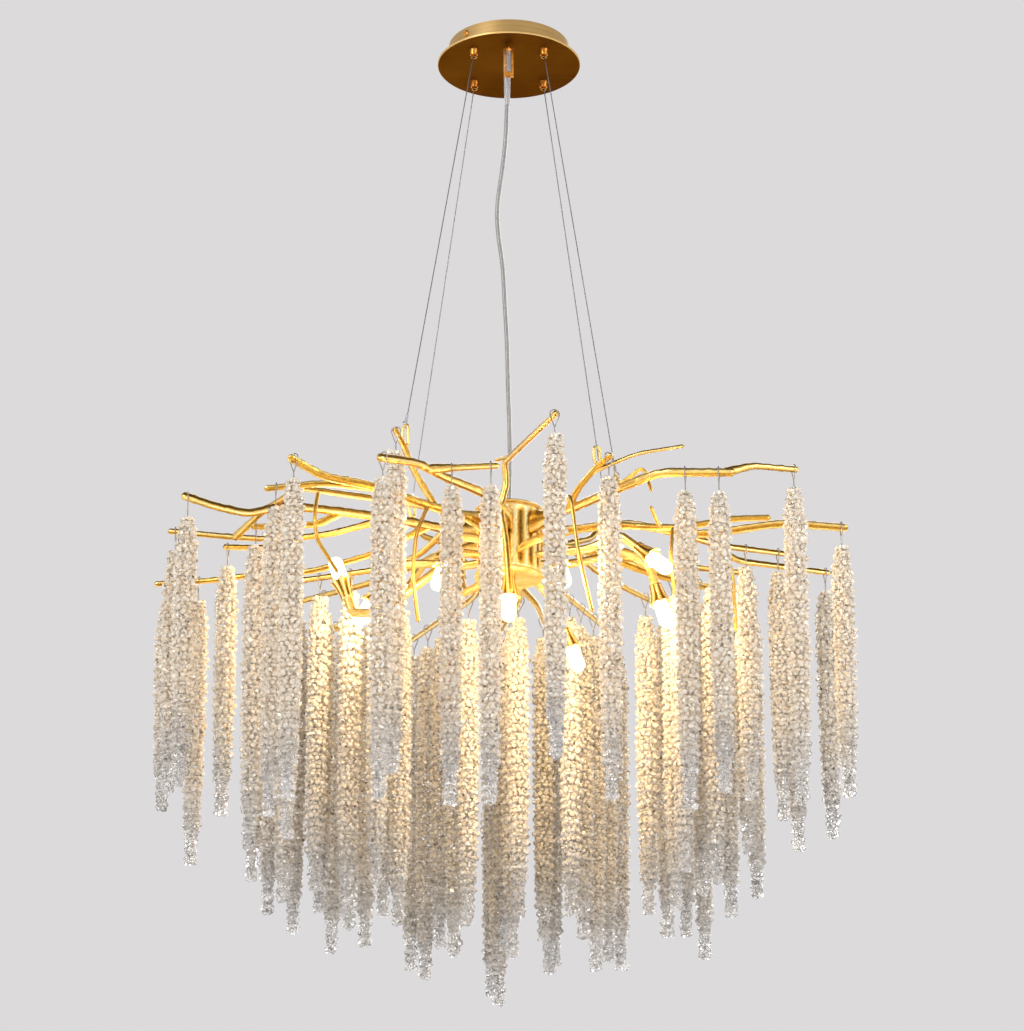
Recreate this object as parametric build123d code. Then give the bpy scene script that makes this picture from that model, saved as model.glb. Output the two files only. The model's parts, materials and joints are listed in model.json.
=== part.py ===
"""A crystal chandelier: a ceiling canopy, four thin cables and a cord that carry a crown of
cast branches, with glass bead strands and small lamps.

Millimetres, +Z up. The origin is the middle of the canopy's top, where it meets the ceiling,
and the whole object hangs below it. +X is to the right and +Y to the back as the photograph
shows it. Branch places are counted from the hub's centre.
"""

from build123d import *
import math
import os
from functools import cache
from typing import NamedTuple

# Running and seating clearances
SEAT_GAP = 0.3
BORE_GAP = 0.15
SLEEVE_GAP = 0.35

# Ceiling canopy
PLATE_RADIUS = 84.0
PLATE_THICKNESS = 2.5
PAN_RADIUS = 71.0
PAN_WALL = 1.2
PAN_HEIGHT = 22.0
PAN_FLANGE = 24.0
PLATE_BOTTOM = -PAN_HEIGHT - PLATE_THICKNESS

# Ceiling bracket and the screws that hold the pan to it
BRACKET_WIDTH = 20.0
BRACKET_THICKNESS = 1.5
BRACKET_TAB_HEIGHT = 14.0
BRACKET_BEARING = 45.0
CEILING_HOLE_SPACING = 88.0
CEILING_HOLE_RADIUS = 2.85
SUPPLY_HOLE_RADIUS = 7.0
SIDE_SCREW_RADIUS = 2.0
SIDE_SCREW_HEAD_HEIGHT = 1.6
SIDE_SCREW_REACH = 6.0
TERMINAL_SIZE = (30.0, 12.0, 14.0)
TERMINAL_BORE_RADIUS = 1.6
TERMINAL_FOOT = (2.4, 5.0)
TERMINAL_INSET = 45.0
TERMINAL_PLACE = (-14.0, PAN_RADIUS - TERMINAL_INSET)

# Cable grips: a threaded barrel through the plate, a cone below it and a sprung release collar
GRIP_INSET = 13.0
GRIP_BARREL_RADIUS = 4.0
GRIP_BARREL_TOP = 7.0
GRIP_CONE_RADIUS = 6.0
GRIP_TIP_RADIUS = 4.4
GRIP_HEIGHT = 7.0
NUT_ACROSS = 12.0
NUT_HEIGHT = 3.5
COLLAR_RADIUS = 3.2
COLLAR_BORE_RADIUS = 2.3
COLLAR_LENGTH = 5.5
COLLAR_SHOWN = 3.0
COLLAR_TRAVEL = 1.5
CABLE_RADIUS = 0.6
CABLE_IN_GRIP = 4.0

# Cord outlet with its clear sleeve, and the flat link that hangs from an eye in front of it
CORD_RADIUS = 2.5
RELIEF_INSET = 31.0
RELIEF_PLACE = (-2.0, RELIEF_INSET - PAN_RADIUS)
RELIEF_TOP_RADIUS = 4.4
RELIEF_TIP_RADIUS = 3.1
RELIEF_LENGTH = 72.0
RELIEF_RIM = 1.5
EYE_INSET = 15.0
EYE_PLACE = (0.0, EYE_INSET - PAN_RADIUS)
EYE_RADIUS = 3.6
EYE_WIRE = 1.3
EYE_STEM = 3.0
LINK_LENGTH = 38.0
LINK_WIDTH = 11.0
LINK_DEPTH = 3.0
LINK_SIDE = 2.6
LINK_FOOT = 6.0

# Hub: a faceted drum with one facet for each bough and each lamp arm
HUB_Z = -628.0
HUB_FACETS = 16
HUB_APOTHEM = 36.0
HUB_WALL = 3.0
HUB_HEIGHT = 76.0
HUB_CAP_THICKNESS = 3.0
HUB_CAP_OVERHANG = 2.0
HUB_SPIGOT = 4.0
GLAND_RADIUS = 7.0
GLAND_HEIGHT = 10.0
BOUGH_ROW = 16.0
LAMP_ROW = -18.0
ROOT_RUN = 22.0
ROOT_SCREW_RADIUS = 2.0
ROOT_SCREW_LENGTH = 14.0
ROOT_SCREW_HEAD = 3.5
ROOT_SCREW_HEAD_HEIGHT = 2.4
ROOT_SCREW_SOCKET = (1.7, 1.4)

# Boughs
ARM_RADIUS = 5.5
TWIG_RADIUS = 4.0
THIN_RADIUS = 2.4
KNOB_RATIO = 1.18
KNOB_TURN = (35, 20, 10)
BEND_SHARE = 0.28
HANGER_WIDTH = 13.0
HANGER_TALL = 30.0
HANGER_MIDDLE = 23.0
HANGER_REAR = 20.0
HANGER_SPARE = 14.0
HANGER_BAR = 3.6

# Cable ends at the boughs: a wire loop and a ferrule
LOOP_RADIUS = 4.0
LOOP_WIRE = 0.8
FERRULE_RADIUS = 1.8
FERRULE_LENGTH = 9.0

# Lamps
LAMP_ARM_RADIUS = 5.0
LAMP_ARM_BORE = 3.5
CUP_ROOT_RADIUS = 7.5
CUP_MOUTH_RADIUS = 13.5
CUP_LENGTH = 24.0
CUP_WALL = 1.2
SOCKET_LENGTH = 13.0
BULB_RADIUS = 8.0
BULB_LENGTH = 36.0
BULB_BASE = (5.0, 10.0, 8.0)
PIN_RADIUS = 0.8
PIN_SPACING = 6.5
PIN_LENGTH = 7.0

# Bead strands and the wire hooks that hold them
BEAD_CREST = 14.0
BEAD_WAIST = 8.5
BEAD_PITCH = 9.6
HOOK_WIRE = 0.7
HOOK_GAP = 0.6
HOOK_DROP = 15.0
HOOK_STEM = 7.0


class Limb(NamedTuple):
    """A branch: where it forks from its parent, its places from there to the tip, its radius,
    and the strands on its last run as (distance back from the knob at its tip, layers of beads)."""

    name: str
    parent: str
    share: float
    places: tuple
    radius: float
    strands: tuple = ()


class Bough(NamedTuple):
    """One casting: the hub facet that carries it, its limbs, and its cable hangers as
    (limb, share of the limb, height of the hanger)."""

    bearing: float
    limbs: tuple
    hangers: tuple = ()


BOUGHS = {
    "west": Bough(180, (
        Limb("reach", "", 0, ((-130, -24, 22), (-195, -44, 24), (-252, -50, 28),
                              (-290, -54, 16), (-328, -54, 25), (-366, -56, 38)),
             ARM_RADIUS, ((0, 33),)),
        Limb("inner", "reach", 0.46, ((-215, -26, 14), (-290, -24, 12)),
             TWIG_RADIUS, ((0, 37), (41, 36))),
        Limb("middle", "reach", 0.30, ((-200, -8, 10), (-258, 2, 6), (-321, 6, 12), (-386, 10, 20)),
             TWIG_RADIUS, ((3, 30),)),
        Limb("cross", "middle", 0.70, ((-276, -28, 30), (-231, -96, 31)), TWIG_RADIUS),
        Limb("short", "middle", 0.42, ((-275, 34, 8), (-326, 44, 13)), TWIG_RADIUS, ((0, 31),)),
        Limb("low", "reach", 0.16, ((-150, 34, 2), (-228, 80, -4), (-300, 102, 0),
                                    (-342, 86, -12), (-404, 62, -25)),
             TWIG_RADIUS, ((10, 26), (47, 33))),
        Limb("back", "reach", 0.10, ((-100, 60, 12), (-132, 96, 8), (-299, 176, 12)),
             TWIG_RADIUS, ((0, 35), (41, 38), (82, 37), (123, 39), (160, 37))),
    )),
    "southwest": Bough(225, (
        Limb("reach", "", 0, ((-100, -84, 18), (-154, -120, 25), (-203, -165, 18),
                              (-239, -195, 29)), ARM_RADIUS, ((0, 38),)),
        Limb("low", "reach", 0.55, ((-205, -134, 22), (-268, -142, 12)), TWIG_RADIUS, ((7, 37),)),
        Limb("beside", "reach", 0.30, ((-160, -80, 26), (-228, -104, 27)), TWIG_RADIUS),
        Limb("sickle", "beside", 0.87, ((-214, -106, -4), (-211, -106, -34), (-187, -102, -72)),
             THIN_RADIUS),
        Limb("drooper", "reach", 0.30, ((-102, -100, -24), (-106, -104, -75), (-99, -104, -130)),
             THIN_RADIUS),
        Limb("riser", "reach", 0.26, ((-106, -90, 54), (-117, -106, 78), (-126, -140, 84)),
             TWIG_RADIUS, ((0, 39),)),
    ), (("riser", 0.64, HANGER_TALL),)),
    "south": Bough(270, (
        Limb("reach", "", 0, ((-30, -92, 28), (-70, -130, 30), (-100, -166, 33),
                              (-142, -205, 24)), ARM_RADIUS, ((0, 38),)),
        Limb("bar", "reach", 0.66, ((-10, -158, 33),), TWIG_RADIUS, ((3, 38), (46, 38))),
        Limb("trunk", "", 0.16, ((-3, -70, 46), (-5, -78, 68), (51, -268, 50)),
             TWIG_RADIUS, ((0, 38),)),
        Limb("stub", "trunk", 0.30, ((-15, -70, 74),), THIN_RADIUS),
        Limb("foot", "", 0.16, ((-3, -66, -20), (1, -70, -84)), TWIG_RADIUS),
    )),
    "southeast": Bough(315, (
        Limb("reach", "", 0, ((84, -78, 20), (121, -102, 28), (165, -138, 33), (248, -150, 28)),
             ARM_RADIUS, ((10, 36), (47, 38))),
        Limb("tip", "reach", 0.96, ((268, -140, 40), (320, -120, 43)), TWIG_RADIUS, ((0, 38),)),
        Limb("riser", "reach", 0.20, ((78, -92, 34), (98, -104, 54), (114, -128, 58)),
             TWIG_RADIUS, ((0, 39),)),
        Limb("feeler", "riser", 0.60, ((142, -116, 64), (193, -148, 60)), THIN_RADIUS),
        Limb("arch", "reach", 0.44, ((149, -112, 50), (158, -112, 20)), THIN_RADIUS),
        Limb("drooper", "reach", 0.14, ((68, -106, 22), (76, -112, -50), (91, -114, -122)),
             THIN_RADIUS),
    ), (("riser", 0.70, HANGER_MIDDLE), ("reach", 0.46, HANGER_SPARE))),
    "east": Bough(0, (
        Limb("reach", "", 0, ((130, -6, 24), (215, 8, 14), (308, 0, 26), (384, 6, 22)),
             ARM_RADIUS, ((0, 31),)),
        Limb("front", "reach", 0.22, ((150, -30, 10), (193, -32, 8), (252, -34, 18),
                                      (294, -32, 20)), TWIG_RADIUS),
        Limb("feather", "front", 0.35, ((166, -58, 4), (158, -64, 22)), THIN_RADIUS),
        Limb("drooper", "front", 0.42, ((180, -60, -36), (184, -62, -84)), THIN_RADIUS),
        Limb("middle", "reach", 0.40, ((240, 36, 12), (316, 58, 10)),
             TWIG_RADIUS, ((3, 31), (42, 29))),
        Limb("pendant", "middle", 0.52, ((254, 34, -24), (256, 24, -96)), THIN_RADIUS),
        Limb("low", "middle", 0.40, ((262, 66, 4), (308, 82, 4), (370, 100, 2)),
             TWIG_RADIUS, ((0, 31), (41, 33))),
    )),
    "northeast": Bough(45, (
        Limb("reach", "", 0, ((104, 88, 22), (164, 126, 12), (292, 228, 16)),
             ARM_RADIUS, ((0, 36), (41, 39), (82, 37), (123, 39))),
        Limb("riser", "reach", 0.12, ((96, 98, 44), (113, 110, 74)), TWIG_RADIUS),
        Limb("right", "reach", 0.28, ((164, 80, 8), (276, 122, 10)),
             TWIG_RADIUS, ((0, 33), (39, 37), (78, 36))),
        Limb("left", "reach", 0.18, ((100, 128, 16), (140, 178, 10), (232, 316, 15)),
             TWIG_RADIUS, ((0, 41), (41, 39), (82, 40), (123, 38))),
    ), (("riser", 0.97, HANGER_REAR),)),
    "north": Bough(90, (
        Limb("reach", "", 0, ((8, 118, 20), (14, 208, 12), (-22, 388, 16)),
             ARM_RADIUS, ((0, 44), (41, 46), (82, 40), (123, 42), (162, 38))),
        Limb("right", "reach", 0.16, ((38, 134, 14), (66, 200, 11), (134, 368, 15)),
             TWIG_RADIUS, ((0, 41), (41, 41), (82, 43), (123, 40), (160, 38))),
        Limb("left", "reach", 0.16, ((-26, 134, 14), (-40, 206, 11), (-118, 372, 15)),
             TWIG_RADIUS, ((0, 41), (41, 43), (82, 40), (123, 42), (160, 39))),
        Limb("middle", "reach", 0.40, ((32, 226, 9), (54, 372, 12)),
             TWIG_RADIUS, ((0, 40), (41, 42), (82, 39))),
    )),
    "northwest": Bough(135, (
        Limb("reach", "", 0, ((-94, 106, 22), (-118, 176, 12), (-212, 334, 16)),
             ARM_RADIUS, ((0, 40), (41, 38), (82, 41), (123, 38), (160, 40))),
        Limb("riser", "reach", 0.12, ((-98, 98, 46), (-114, 110, 74)), TWIG_RADIUS),
        Limb("left", "reach", 0.22, ((-128, 130, 14), (-166, 158, 10), (-284, 258, 14)),
             TWIG_RADIUS, ((0, 37), (41, 40), (82, 38), (123, 39))),
    ), (("riser", 0.97, HANGER_REAR),)),
}


class Lamp(NamedTuple):
    """A lamp arm: its hub facet and its places from there to the lamp cup."""

    bearing: float
    places: tuple


LAMPS = (
    Lamp(22.5, ((92, 30, -8), (130, 34, 6), (160, 39, -12), (166, 40, -34))),
    Lamp(67.5, ((38, 70, -26), (56, 86, -48), (64, 90, -70))),
    Lamp(112.5, ((-34, 70, -24), (-52, 92, -26), (-56, 99, -4))),
    Lamp(157.5, ((-92, 30, -12), (-128, 44, -8), (-144, 50, -32))),
    Lamp(202.5, ((-92, -26, -50), (-142, -24, -90), (-174, -22, -90), (-180, -21, -72))),
    Lamp(247.5, ((-38, -74, -20), (-58, -90, -24), (-65, -96, -46))),
    Lamp(292.5, ((32, -76, -22), (44, -98, -26), (50, -106, -48))),
    Lamp(337.5, ((88, -38, -20), (124, -52, -8), (143, -60, -26))),
)

# The cord's way from its sleeve to the gland, chosen by hand from the photograph
CORD_ROUTE = (
    (-2, -40, -40),
    (-2, -40, -92),
    (-4, -39, -146),
    (-9, -36, -188),
    (-14, -33, -222),
    (-13, -30, -256),
    (-7, -27, -294),
    (-5, -23, -338),
    (-2, -18, -388),
    (-1, -12, -442),
    (1, -6, -494),
    (1, -2, -540),
    (0, 0, -583),
)


def polar(radius, bearing, height=0.0):
    """A point at a radius and a bearing about the Z axis."""
    angle = math.radians(bearing)
    return Vector(radius * math.cos(angle), radius * math.sin(angle), height)


def turning(bearing):
    """A place on the hub's or canopy's axis, turned so that +X looks along the bearing."""
    return Location((0, 0, 0), (0, 0, bearing))


def smooth_path(points, share, least=0.0):
    """Straight runs joined by tangent arcs, each arc taking a share of its shorter run."""
    points = [Vector(*point) for point in points]
    if len(points) == 2:
        return Line(*points), []
    runs = [after - before for before, after in zip(points, points[1:])]
    radii = []
    for before, after in zip(runs, runs[1:]):
        half_turn = math.radians(before.get_angle(after)) / 2
        reach = share * min(before.length, after.length)
        radii.append(max(reach / math.tan(half_turn), least))
    return FilletPolyline(*points, radius=radii), radii


def rod(path, radius, bore=0.0):
    """A round rod or tube along a path."""
    section = Circle(radius)
    if bore:
        section = section - Circle(bore)
    return sweep(Plane(origin=path @ 0, z_dir=path % 0) * section, path=path)


def frame_along(place, direction):
    """A plane at a place that looks along a direction."""
    return Plane(origin=place, z_dir=direction)


def write(node, solids):
    """Write one node's solids to its file."""
    solids = solids if isinstance(solids, (list, tuple)) else [solids]
    pieces = [piece for solid in solids for piece in solid.solids()]
    export_step(Compound(children=pieces), f"parts/{node}.step")


# ---------------------------------------------------------------- ceiling canopy


def bracket_end():
    """Half the bracket's length: its tabs stand just inside the pan's wall."""
    return PAN_RADIUS - PAN_WALL - SEAT_GAP


def make_ceiling_bracket():
    """A strip against the ceiling with two holes, and a tab at each end for a side screw."""
    half = bracket_end()
    strip = Box(2 * half, BRACKET_WIDTH, BRACKET_THICKNESS, align=(Align.CENTER, Align.CENTER, Align.MAX))
    tab = Box(BRACKET_THICKNESS, BRACKET_WIDTH / 2, BRACKET_TAB_HEIGHT,
              align=(Align.MAX, Align.CENTER, Align.MAX))
    pan_inside = Cylinder(half, 2 * BRACKET_TAB_HEIGHT)
    body = strip & pan_inside
    screw_hole = Rot(Y=90) * Cylinder(SIDE_SCREW_RADIUS + BORE_GAP, 8 * BRACKET_THICKNESS)
    edge = math.sqrt(half**2 - (BRACKET_WIDTH / 4) ** 2)
    for side in (0, 180):
        body += Rot(Z=side) * Pos(edge, 0, 0) * tab
    for side in (0, 180):
        body -= Rot(Z=side) * Pos(edge, 0, side_screw_height()) * screw_hole
    for side in (-1, 1):
        hole = Cylinder(CEILING_HOLE_RADIUS, 4 * BRACKET_THICKNESS)
        body -= Pos(side * CEILING_HOLE_SPACING / 2, 0, 0) * hole
    supply_hole = Cylinder(SUPPLY_HOLE_RADIUS, 4 * BRACKET_THICKNESS)
    return turning(BRACKET_BEARING) * (body - supply_hole)


def side_screw_height():
    """The side screws go in at the middle of the bracket's tabs."""
    return -(BRACKET_THICKNESS + BRACKET_TAB_HEIGHT) / 2


def grip_places():
    """The four cable grips on the plate, from the front left one to the back right one."""
    offset = (PAN_RADIUS - GRIP_INSET) / math.sqrt(2)
    return [(x * offset, y * offset) for y in (-1, 1) for x in (-1, 1)]


def make_canopy_pan():
    """A round wall with a flange turned in at its lower edge."""
    top = (Align.CENTER, Align.CENTER, Align.MAX)
    wall = Cylinder(PAN_RADIUS, PAN_HEIGHT, align=top)
    wall -= Cylinder(PAN_RADIUS - PAN_WALL, PAN_HEIGHT - PAN_WALL, align=top)
    wall -= Cylinder(PAN_RADIUS - PAN_FLANGE, 2 * PAN_HEIGHT, align=top)
    for x, y in grip_places():
        wall -= Pos(x, y, -PAN_HEIGHT) * Cylinder(GRIP_BARREL_RADIUS + BORE_GAP, 4 * PAN_WALL)
    wall -= Pos(*EYE_PLACE, -PAN_HEIGHT) * Cylinder(EYE_WIRE + BORE_GAP, 4 * PAN_WALL)
    hole = Rot(Y=90) * Cylinder(SIDE_SCREW_RADIUS + BORE_GAP, 8 * PAN_WALL)
    for side in (0, 180):
        wall -= turning(BRACKET_BEARING + side) * Pos(PAN_RADIUS, 0, side_screw_height()) * hole
    return wall


def make_canopy_plate():
    """The wide disc under the pan, bored for the grips, the cord's sleeve and the eye."""
    plate = Cylinder(PLATE_RADIUS, PLATE_THICKNESS, align=(Align.CENTER, Align.CENTER, Align.MIN))
    plate = chamfer(plate.edges().filter_by(GeomType.CIRCLE), 0.4)
    for x, y in grip_places():
        plate -= Pos(x, y) * Cylinder(GRIP_BARREL_RADIUS + BORE_GAP, 4 * PLATE_THICKNESS)
    plate -= Pos(*RELIEF_PLACE) * Cylinder(RELIEF_TOP_RADIUS + BORE_GAP, 4 * PLATE_THICKNESS)
    plate -= Pos(*EYE_PLACE) * Cylinder(EYE_WIRE + BORE_GAP, 4 * PLATE_THICKNESS)
    return Pos(0, 0, PLATE_BOTTOM) * plate


def make_side_screws():
    """Two screws with low domed heads on the pan's wall, reaching into the bracket's tabs."""
    head = Cylinder(2 * SIDE_SCREW_RADIUS, SIDE_SCREW_HEAD_HEIGHT,
                    align=(Align.CENTER, Align.CENTER, Align.MIN))
    head = fillet(head.edges().group_by(Axis.Z)[-1], 0.75 * SIDE_SCREW_HEAD_HEIGHT)
    shank = Cylinder(SIDE_SCREW_RADIUS, SIDE_SCREW_REACH, align=(Align.CENTER, Align.CENTER, Align.MAX))
    screw = Rot(Y=90) * (head + shank)
    # The head stands off the curved wall by the wall's own rise across the head
    rise = PAN_RADIUS - math.sqrt(PAN_RADIUS**2 - (2 * SIDE_SCREW_RADIUS) ** 2)
    reach = Pos(PAN_RADIUS + rise / 4, 0, side_screw_height())
    return [turning(BRACKET_BEARING + side) * reach * screw for side in (0, 180)]


def make_terminal_block():
    """A block of three screw terminals that stands on two feet on the plate. The supply wires
    go in from the ceiling's side, and the lamps' wires from below, between the feet."""
    length, depth, height = TERMINAL_SIZE
    foot_width, foot_height = TERMINAL_FOOT
    low = (Align.CENTER, Align.CENTER, Align.MIN)
    block = Pos(0, 0, foot_height) * Box(length, depth, height, align=low)
    for side in (-1, 1):
        block += Pos(side * (length - foot_width) / 2, 0, 0) * Box(foot_width, depth, foot_height, align=low)
        block -= Pos(side * length / 6, depth / 2, 0) * Box(1.2, depth, 4 * height)
    for pole in (-1, 0, 1):
        block -= Pos(pole * length / 3, 0, 0) * Cylinder(TERMINAL_BORE_RADIUS, 4 * height)
    return Pos(*TERMINAL_PLACE, PLATE_BOTTOM + PLATE_THICKNESS) * block


def make_canopy_eye():
    """A small ring under the plate on a stem that is riveted over above the pan's flange."""
    x, y = EYE_PLACE
    ring = Pos(0, 0, -EYE_STEM - EYE_RADIUS) * Rot(Y=90) * Torus(EYE_RADIUS, EYE_WIRE)
    through = PLATE_THICKNESS + PAN_WALL
    stem = Pos(0, 0, through) * Cylinder(
        EYE_WIRE, through + EYE_STEM + EYE_WIRE / 2, align=(Align.CENTER, Align.CENTER, Align.MAX))
    rivet = Pos(0, 0, through) * Cylinder(
        2 * EYE_WIRE, 1.0, align=(Align.CENTER, Align.CENTER, Align.MIN))
    return Pos(x, y, PLATE_BOTTOM) * (ring + stem + rivet)


def link_pivot():
    """The link's hinge: the low inside of the eye."""
    x, y = EYE_PLACE
    return Vector(x, y, PLATE_BOTTOM - EYE_STEM - EYE_RADIUS)


def make_safety_link():
    """A long flat link with a slot, whose top bar lies in the eye."""
    pivot = link_pivot()
    bar = Rot(Y=90) * Cylinder(1.5, LINK_WIDTH)
    down = (Align.CENTER, Align.CENTER, Align.MAX)
    body = Pos(0, 0, 1.5) * Box(LINK_WIDTH, LINK_DEPTH, LINK_LENGTH, align=down)
    slot_length = LINK_LENGTH - LINK_FOOT
    inside = LINK_WIDTH - 2 * LINK_SIDE
    body -= Pos(0, 0, 2) * Box(inside, 2 * LINK_DEPTH, slot_length, align=down)
    body = fillet(body.edges().filter_by(Axis.Z), 0.6)
    # The eye's ring goes round the bar, which rests on its lower inside
    place = Pos(pivot.X, pivot.Y, pivot.Z)
    return place * (body + bar)


def make_cord_relief():
    """A clear tapered sleeve that holds the cord from the plate down."""
    profile = Polyline(
        (CORD_RADIUS + SLEEVE_GAP, PLATE_THICKNESS),
        (RELIEF_TOP_RADIUS + RELIEF_RIM, PLATE_THICKNESS),
        (RELIEF_TOP_RADIUS + RELIEF_RIM, PLATE_THICKNESS + RELIEF_RIM),
        (CORD_RADIUS + SLEEVE_GAP, PLATE_THICKNESS + RELIEF_RIM),
        close=True,
    )
    rim = revolve(Plane.XZ * make_face(profile), Axis.Z)
    outline = Polyline(
        (CORD_RADIUS + SLEEVE_GAP, PLATE_THICKNESS),
        (RELIEF_TOP_RADIUS, PLATE_THICKNESS),
        (RELIEF_TOP_RADIUS, -RELIEF_LENGTH / 3),
        (RELIEF_TIP_RADIUS, -RELIEF_LENGTH),
        (CORD_RADIUS + SLEEVE_GAP, -RELIEF_LENGTH),
        close=True,
    )
    sleeve = revolve(Plane.XZ * make_face(outline), Axis.Z)
    return Pos(*RELIEF_PLACE, PLATE_BOTTOM) * (sleeve + rim)


# ---------------------------------------------------------------- hub


def hub_prism(apothem, height):
    """A prism whose facets look along the bough and lamp bearings."""
    outline = RegularPolygon(apothem, HUB_FACETS, major_radius=False, rotation=180 / HUB_FACETS)
    return extrude(outline, amount=height / 2, both=True)


def hub_sockets():
    """Every (bearing, row) at which a bough or a lamp arm is screwed to the drum."""
    rows = [(bough.bearing, BOUGH_ROW) for bough in BOUGHS.values()]
    return rows + [(lamp.bearing, LAMP_ROW) for lamp in LAMPS]


def make_hub_drum():
    """The hollow drum with a screw hole in the middle of each used facet."""
    drum = hub_prism(HUB_APOTHEM, HUB_HEIGHT) - hub_prism(HUB_APOTHEM - HUB_WALL, 2 * HUB_HEIGHT)
    for bearing, row in hub_sockets():
        radius = (ROOT_SCREW_RADIUS if row == BOUGH_ROW else LAMP_ARM_BORE) + BORE_GAP
        hole = Pos(HUB_APOTHEM, 0, row) * Rot(Y=90) * Cylinder(radius, 4 * HUB_WALL)
        drum -= turning(bearing) * hole
    return Pos(0, 0, HUB_Z) * drum


def hub_lid_radius():
    """The cap and the base reach a little past the drum's corners."""
    return HUB_APOTHEM / math.cos(math.pi / HUB_FACETS) + HUB_CAP_OVERHANG


def make_hub_cap():
    """The drum's lid, with a spigot inside it and the cord's gland on top."""
    low = (Align.CENTER, Align.CENTER, Align.MIN)
    high = (Align.CENTER, Align.CENTER, Align.MAX)
    lid = Cylinder(hub_lid_radius(), HUB_CAP_THICKNESS, align=low)
    lid = chamfer(lid.edges().group_by(Axis.Z)[-1], 1.0)
    lid += Cylinder(HUB_APOTHEM - HUB_WALL - SEAT_GAP, HUB_SPIGOT, align=high)
    lid -= Cylinder(HUB_APOTHEM - 2 * HUB_WALL, HUB_SPIGOT, align=high)
    lid += Cylinder(GLAND_RADIUS, HUB_CAP_THICKNESS + GLAND_HEIGHT, align=low)
    lid -= Cylinder(CORD_RADIUS + SLEEVE_GAP, 4 * GLAND_HEIGHT)
    return Pos(0, 0, HUB_Z + HUB_HEIGHT / 2) * lid


def make_hub_base():
    """The drum's floor, with a spigot inside it and the middle lamp's wire hole."""
    low = (Align.CENTER, Align.CENTER, Align.MIN)
    high = (Align.CENTER, Align.CENTER, Align.MAX)
    floor = Cylinder(hub_lid_radius(), HUB_CAP_THICKNESS, align=high)
    floor = chamfer(floor.edges().group_by(Axis.Z)[0], 1.0)
    floor += Cylinder(HUB_APOTHEM - HUB_WALL - SEAT_GAP, HUB_SPIGOT, align=low)
    floor -= Cylinder(HUB_APOTHEM - 2 * HUB_WALL, HUB_SPIGOT, align=low)
    floor -= Cylinder(LAMP_ARM_BORE, 4 * HUB_CAP_THICKNESS)
    return Pos(0, 0, HUB_Z - HUB_HEIGHT / 2) * floor


def make_branch_screws():
    """One screw for each bough, its head inside the drum."""
    inside = HUB_APOTHEM - HUB_WALL
    head = Cylinder(ROOT_SCREW_HEAD, ROOT_SCREW_HEAD_HEIGHT,
                    align=(Align.CENTER, Align.CENTER, Align.MAX))
    socket_radius, socket_depth = ROOT_SCREW_SOCKET
    socket = extrude(RegularPolygon(socket_radius, 6), amount=socket_depth)
    head -= Pos(0, 0, -ROOT_SCREW_HEAD_HEIGHT) * socket
    shank = Cylinder(ROOT_SCREW_RADIUS, ROOT_SCREW_LENGTH, align=(Align.CENTER, Align.CENTER, Align.MIN))
    screw = Pos(inside, 0, BOUGH_ROW) * Rot(Y=90) * (head + shank)
    return [Pos(0, 0, HUB_Z) * turning(bough.bearing) * screw for bough in BOUGHS.values()]


# ---------------------------------------------------------------- boughs


def root_points(bearing, row):
    """The first run of a bough or lamp arm: straight out of its facet."""
    return [polar(HUB_APOTHEM, bearing, HUB_Z + row), polar(HUB_APOTHEM + ROOT_RUN, bearing, HUB_Z + row)]


def from_hub(place):
    """A place counted from the hub's centre."""
    x, y, rise = place
    return Vector(x, y, HUB_Z + rise)


@cache
def limb_paths(name):
    """Every limb's path in a bough, each forked from its parent's."""
    bough = BOUGHS[name]
    paths = {}
    for limb in bough.limbs:
        places = [from_hub(place) for place in limb.places]
        if not paths:
            start = root_points(bough.bearing, BOUGH_ROW)
        else:
            parent = paths[limb.parent or bough.limbs[0].name]
            start = [parent @ limb.share]
        paths[limb.name] = smooth_path(start + places, BEND_SHARE)[0]
    return paths


def hanger(height, radius):
    """An upright loop for a cable, standing on a limb at the origin, its width along Y."""
    outside = SlotOverall(height, HANGER_WIDTH, rotation=90)
    inside = SlotOverall(height - 2 * HANGER_BAR, HANGER_WIDTH - 2 * HANGER_BAR, rotation=90)
    loop = extrude(Plane.YZ * (outside - inside), amount=HANGER_BAR / 2, both=True)
    return Pos(0, 0, radius / 2 + height / 2) * loop


def hanger_place(name, limb_name, share):
    """Where a hanger stands on its limb, and the limb's radius there."""
    limb = next(limb for limb in BOUGHS[name].limbs if limb.name == limb_name)
    return limb_paths(name)[limb_name] @ share, limb.radius


def knob(place, direction, radius):
    """A knob on a limb, turned so that its seam and poles stay clear of the limb's outline."""
    return frame_along(place, direction).rotated(KNOB_TURN).location * Sphere(radius * KNOB_RATIO)


def make_bough(name):
    """A casting: its limbs, a knob at each tip and at each fork from a limb no thicker, its
    hangers and the screw hole in its root."""
    bough = BOUGHS[name]
    paths = limb_paths(name)
    radii = {limb.name: limb.radius for limb in bough.limbs}
    pieces = []
    for limb in bough.limbs:
        path = paths[limb.name]
        pieces.append(rod(path, limb.radius))
        pieces.append(knob(path @ 1, path % 1, limb.radius))
        parent_radius = radii[limb.parent or bough.limbs[0].name]
        if limb.share and parent_radius < limb.radius * KNOB_RATIO:
            pieces.append(knob(path @ 0, path % 0, limb.radius))
    for limb_name, share, height in bough.hangers:
        place, radius = hanger_place(name, limb_name, share)
        bearing = math.degrees(math.atan2(place.Y, place.X))
        pieces.append(Pos(place) * Rot(Z=bearing) * hanger(height, radius))
    body = pieces[0] + pieces[1:]
    depth = ROOT_SCREW_LENGTH - HUB_WALL + 1.0
    hole = Cylinder(ROOT_SCREW_RADIUS + BORE_GAP, 2 * depth)
    root = Pos(0, 0, HUB_Z) * turning(bough.bearing) * Pos(HUB_APOTHEM, 0, BOUGH_ROW)
    return body - root * Rot(Y=90) * hole


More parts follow.
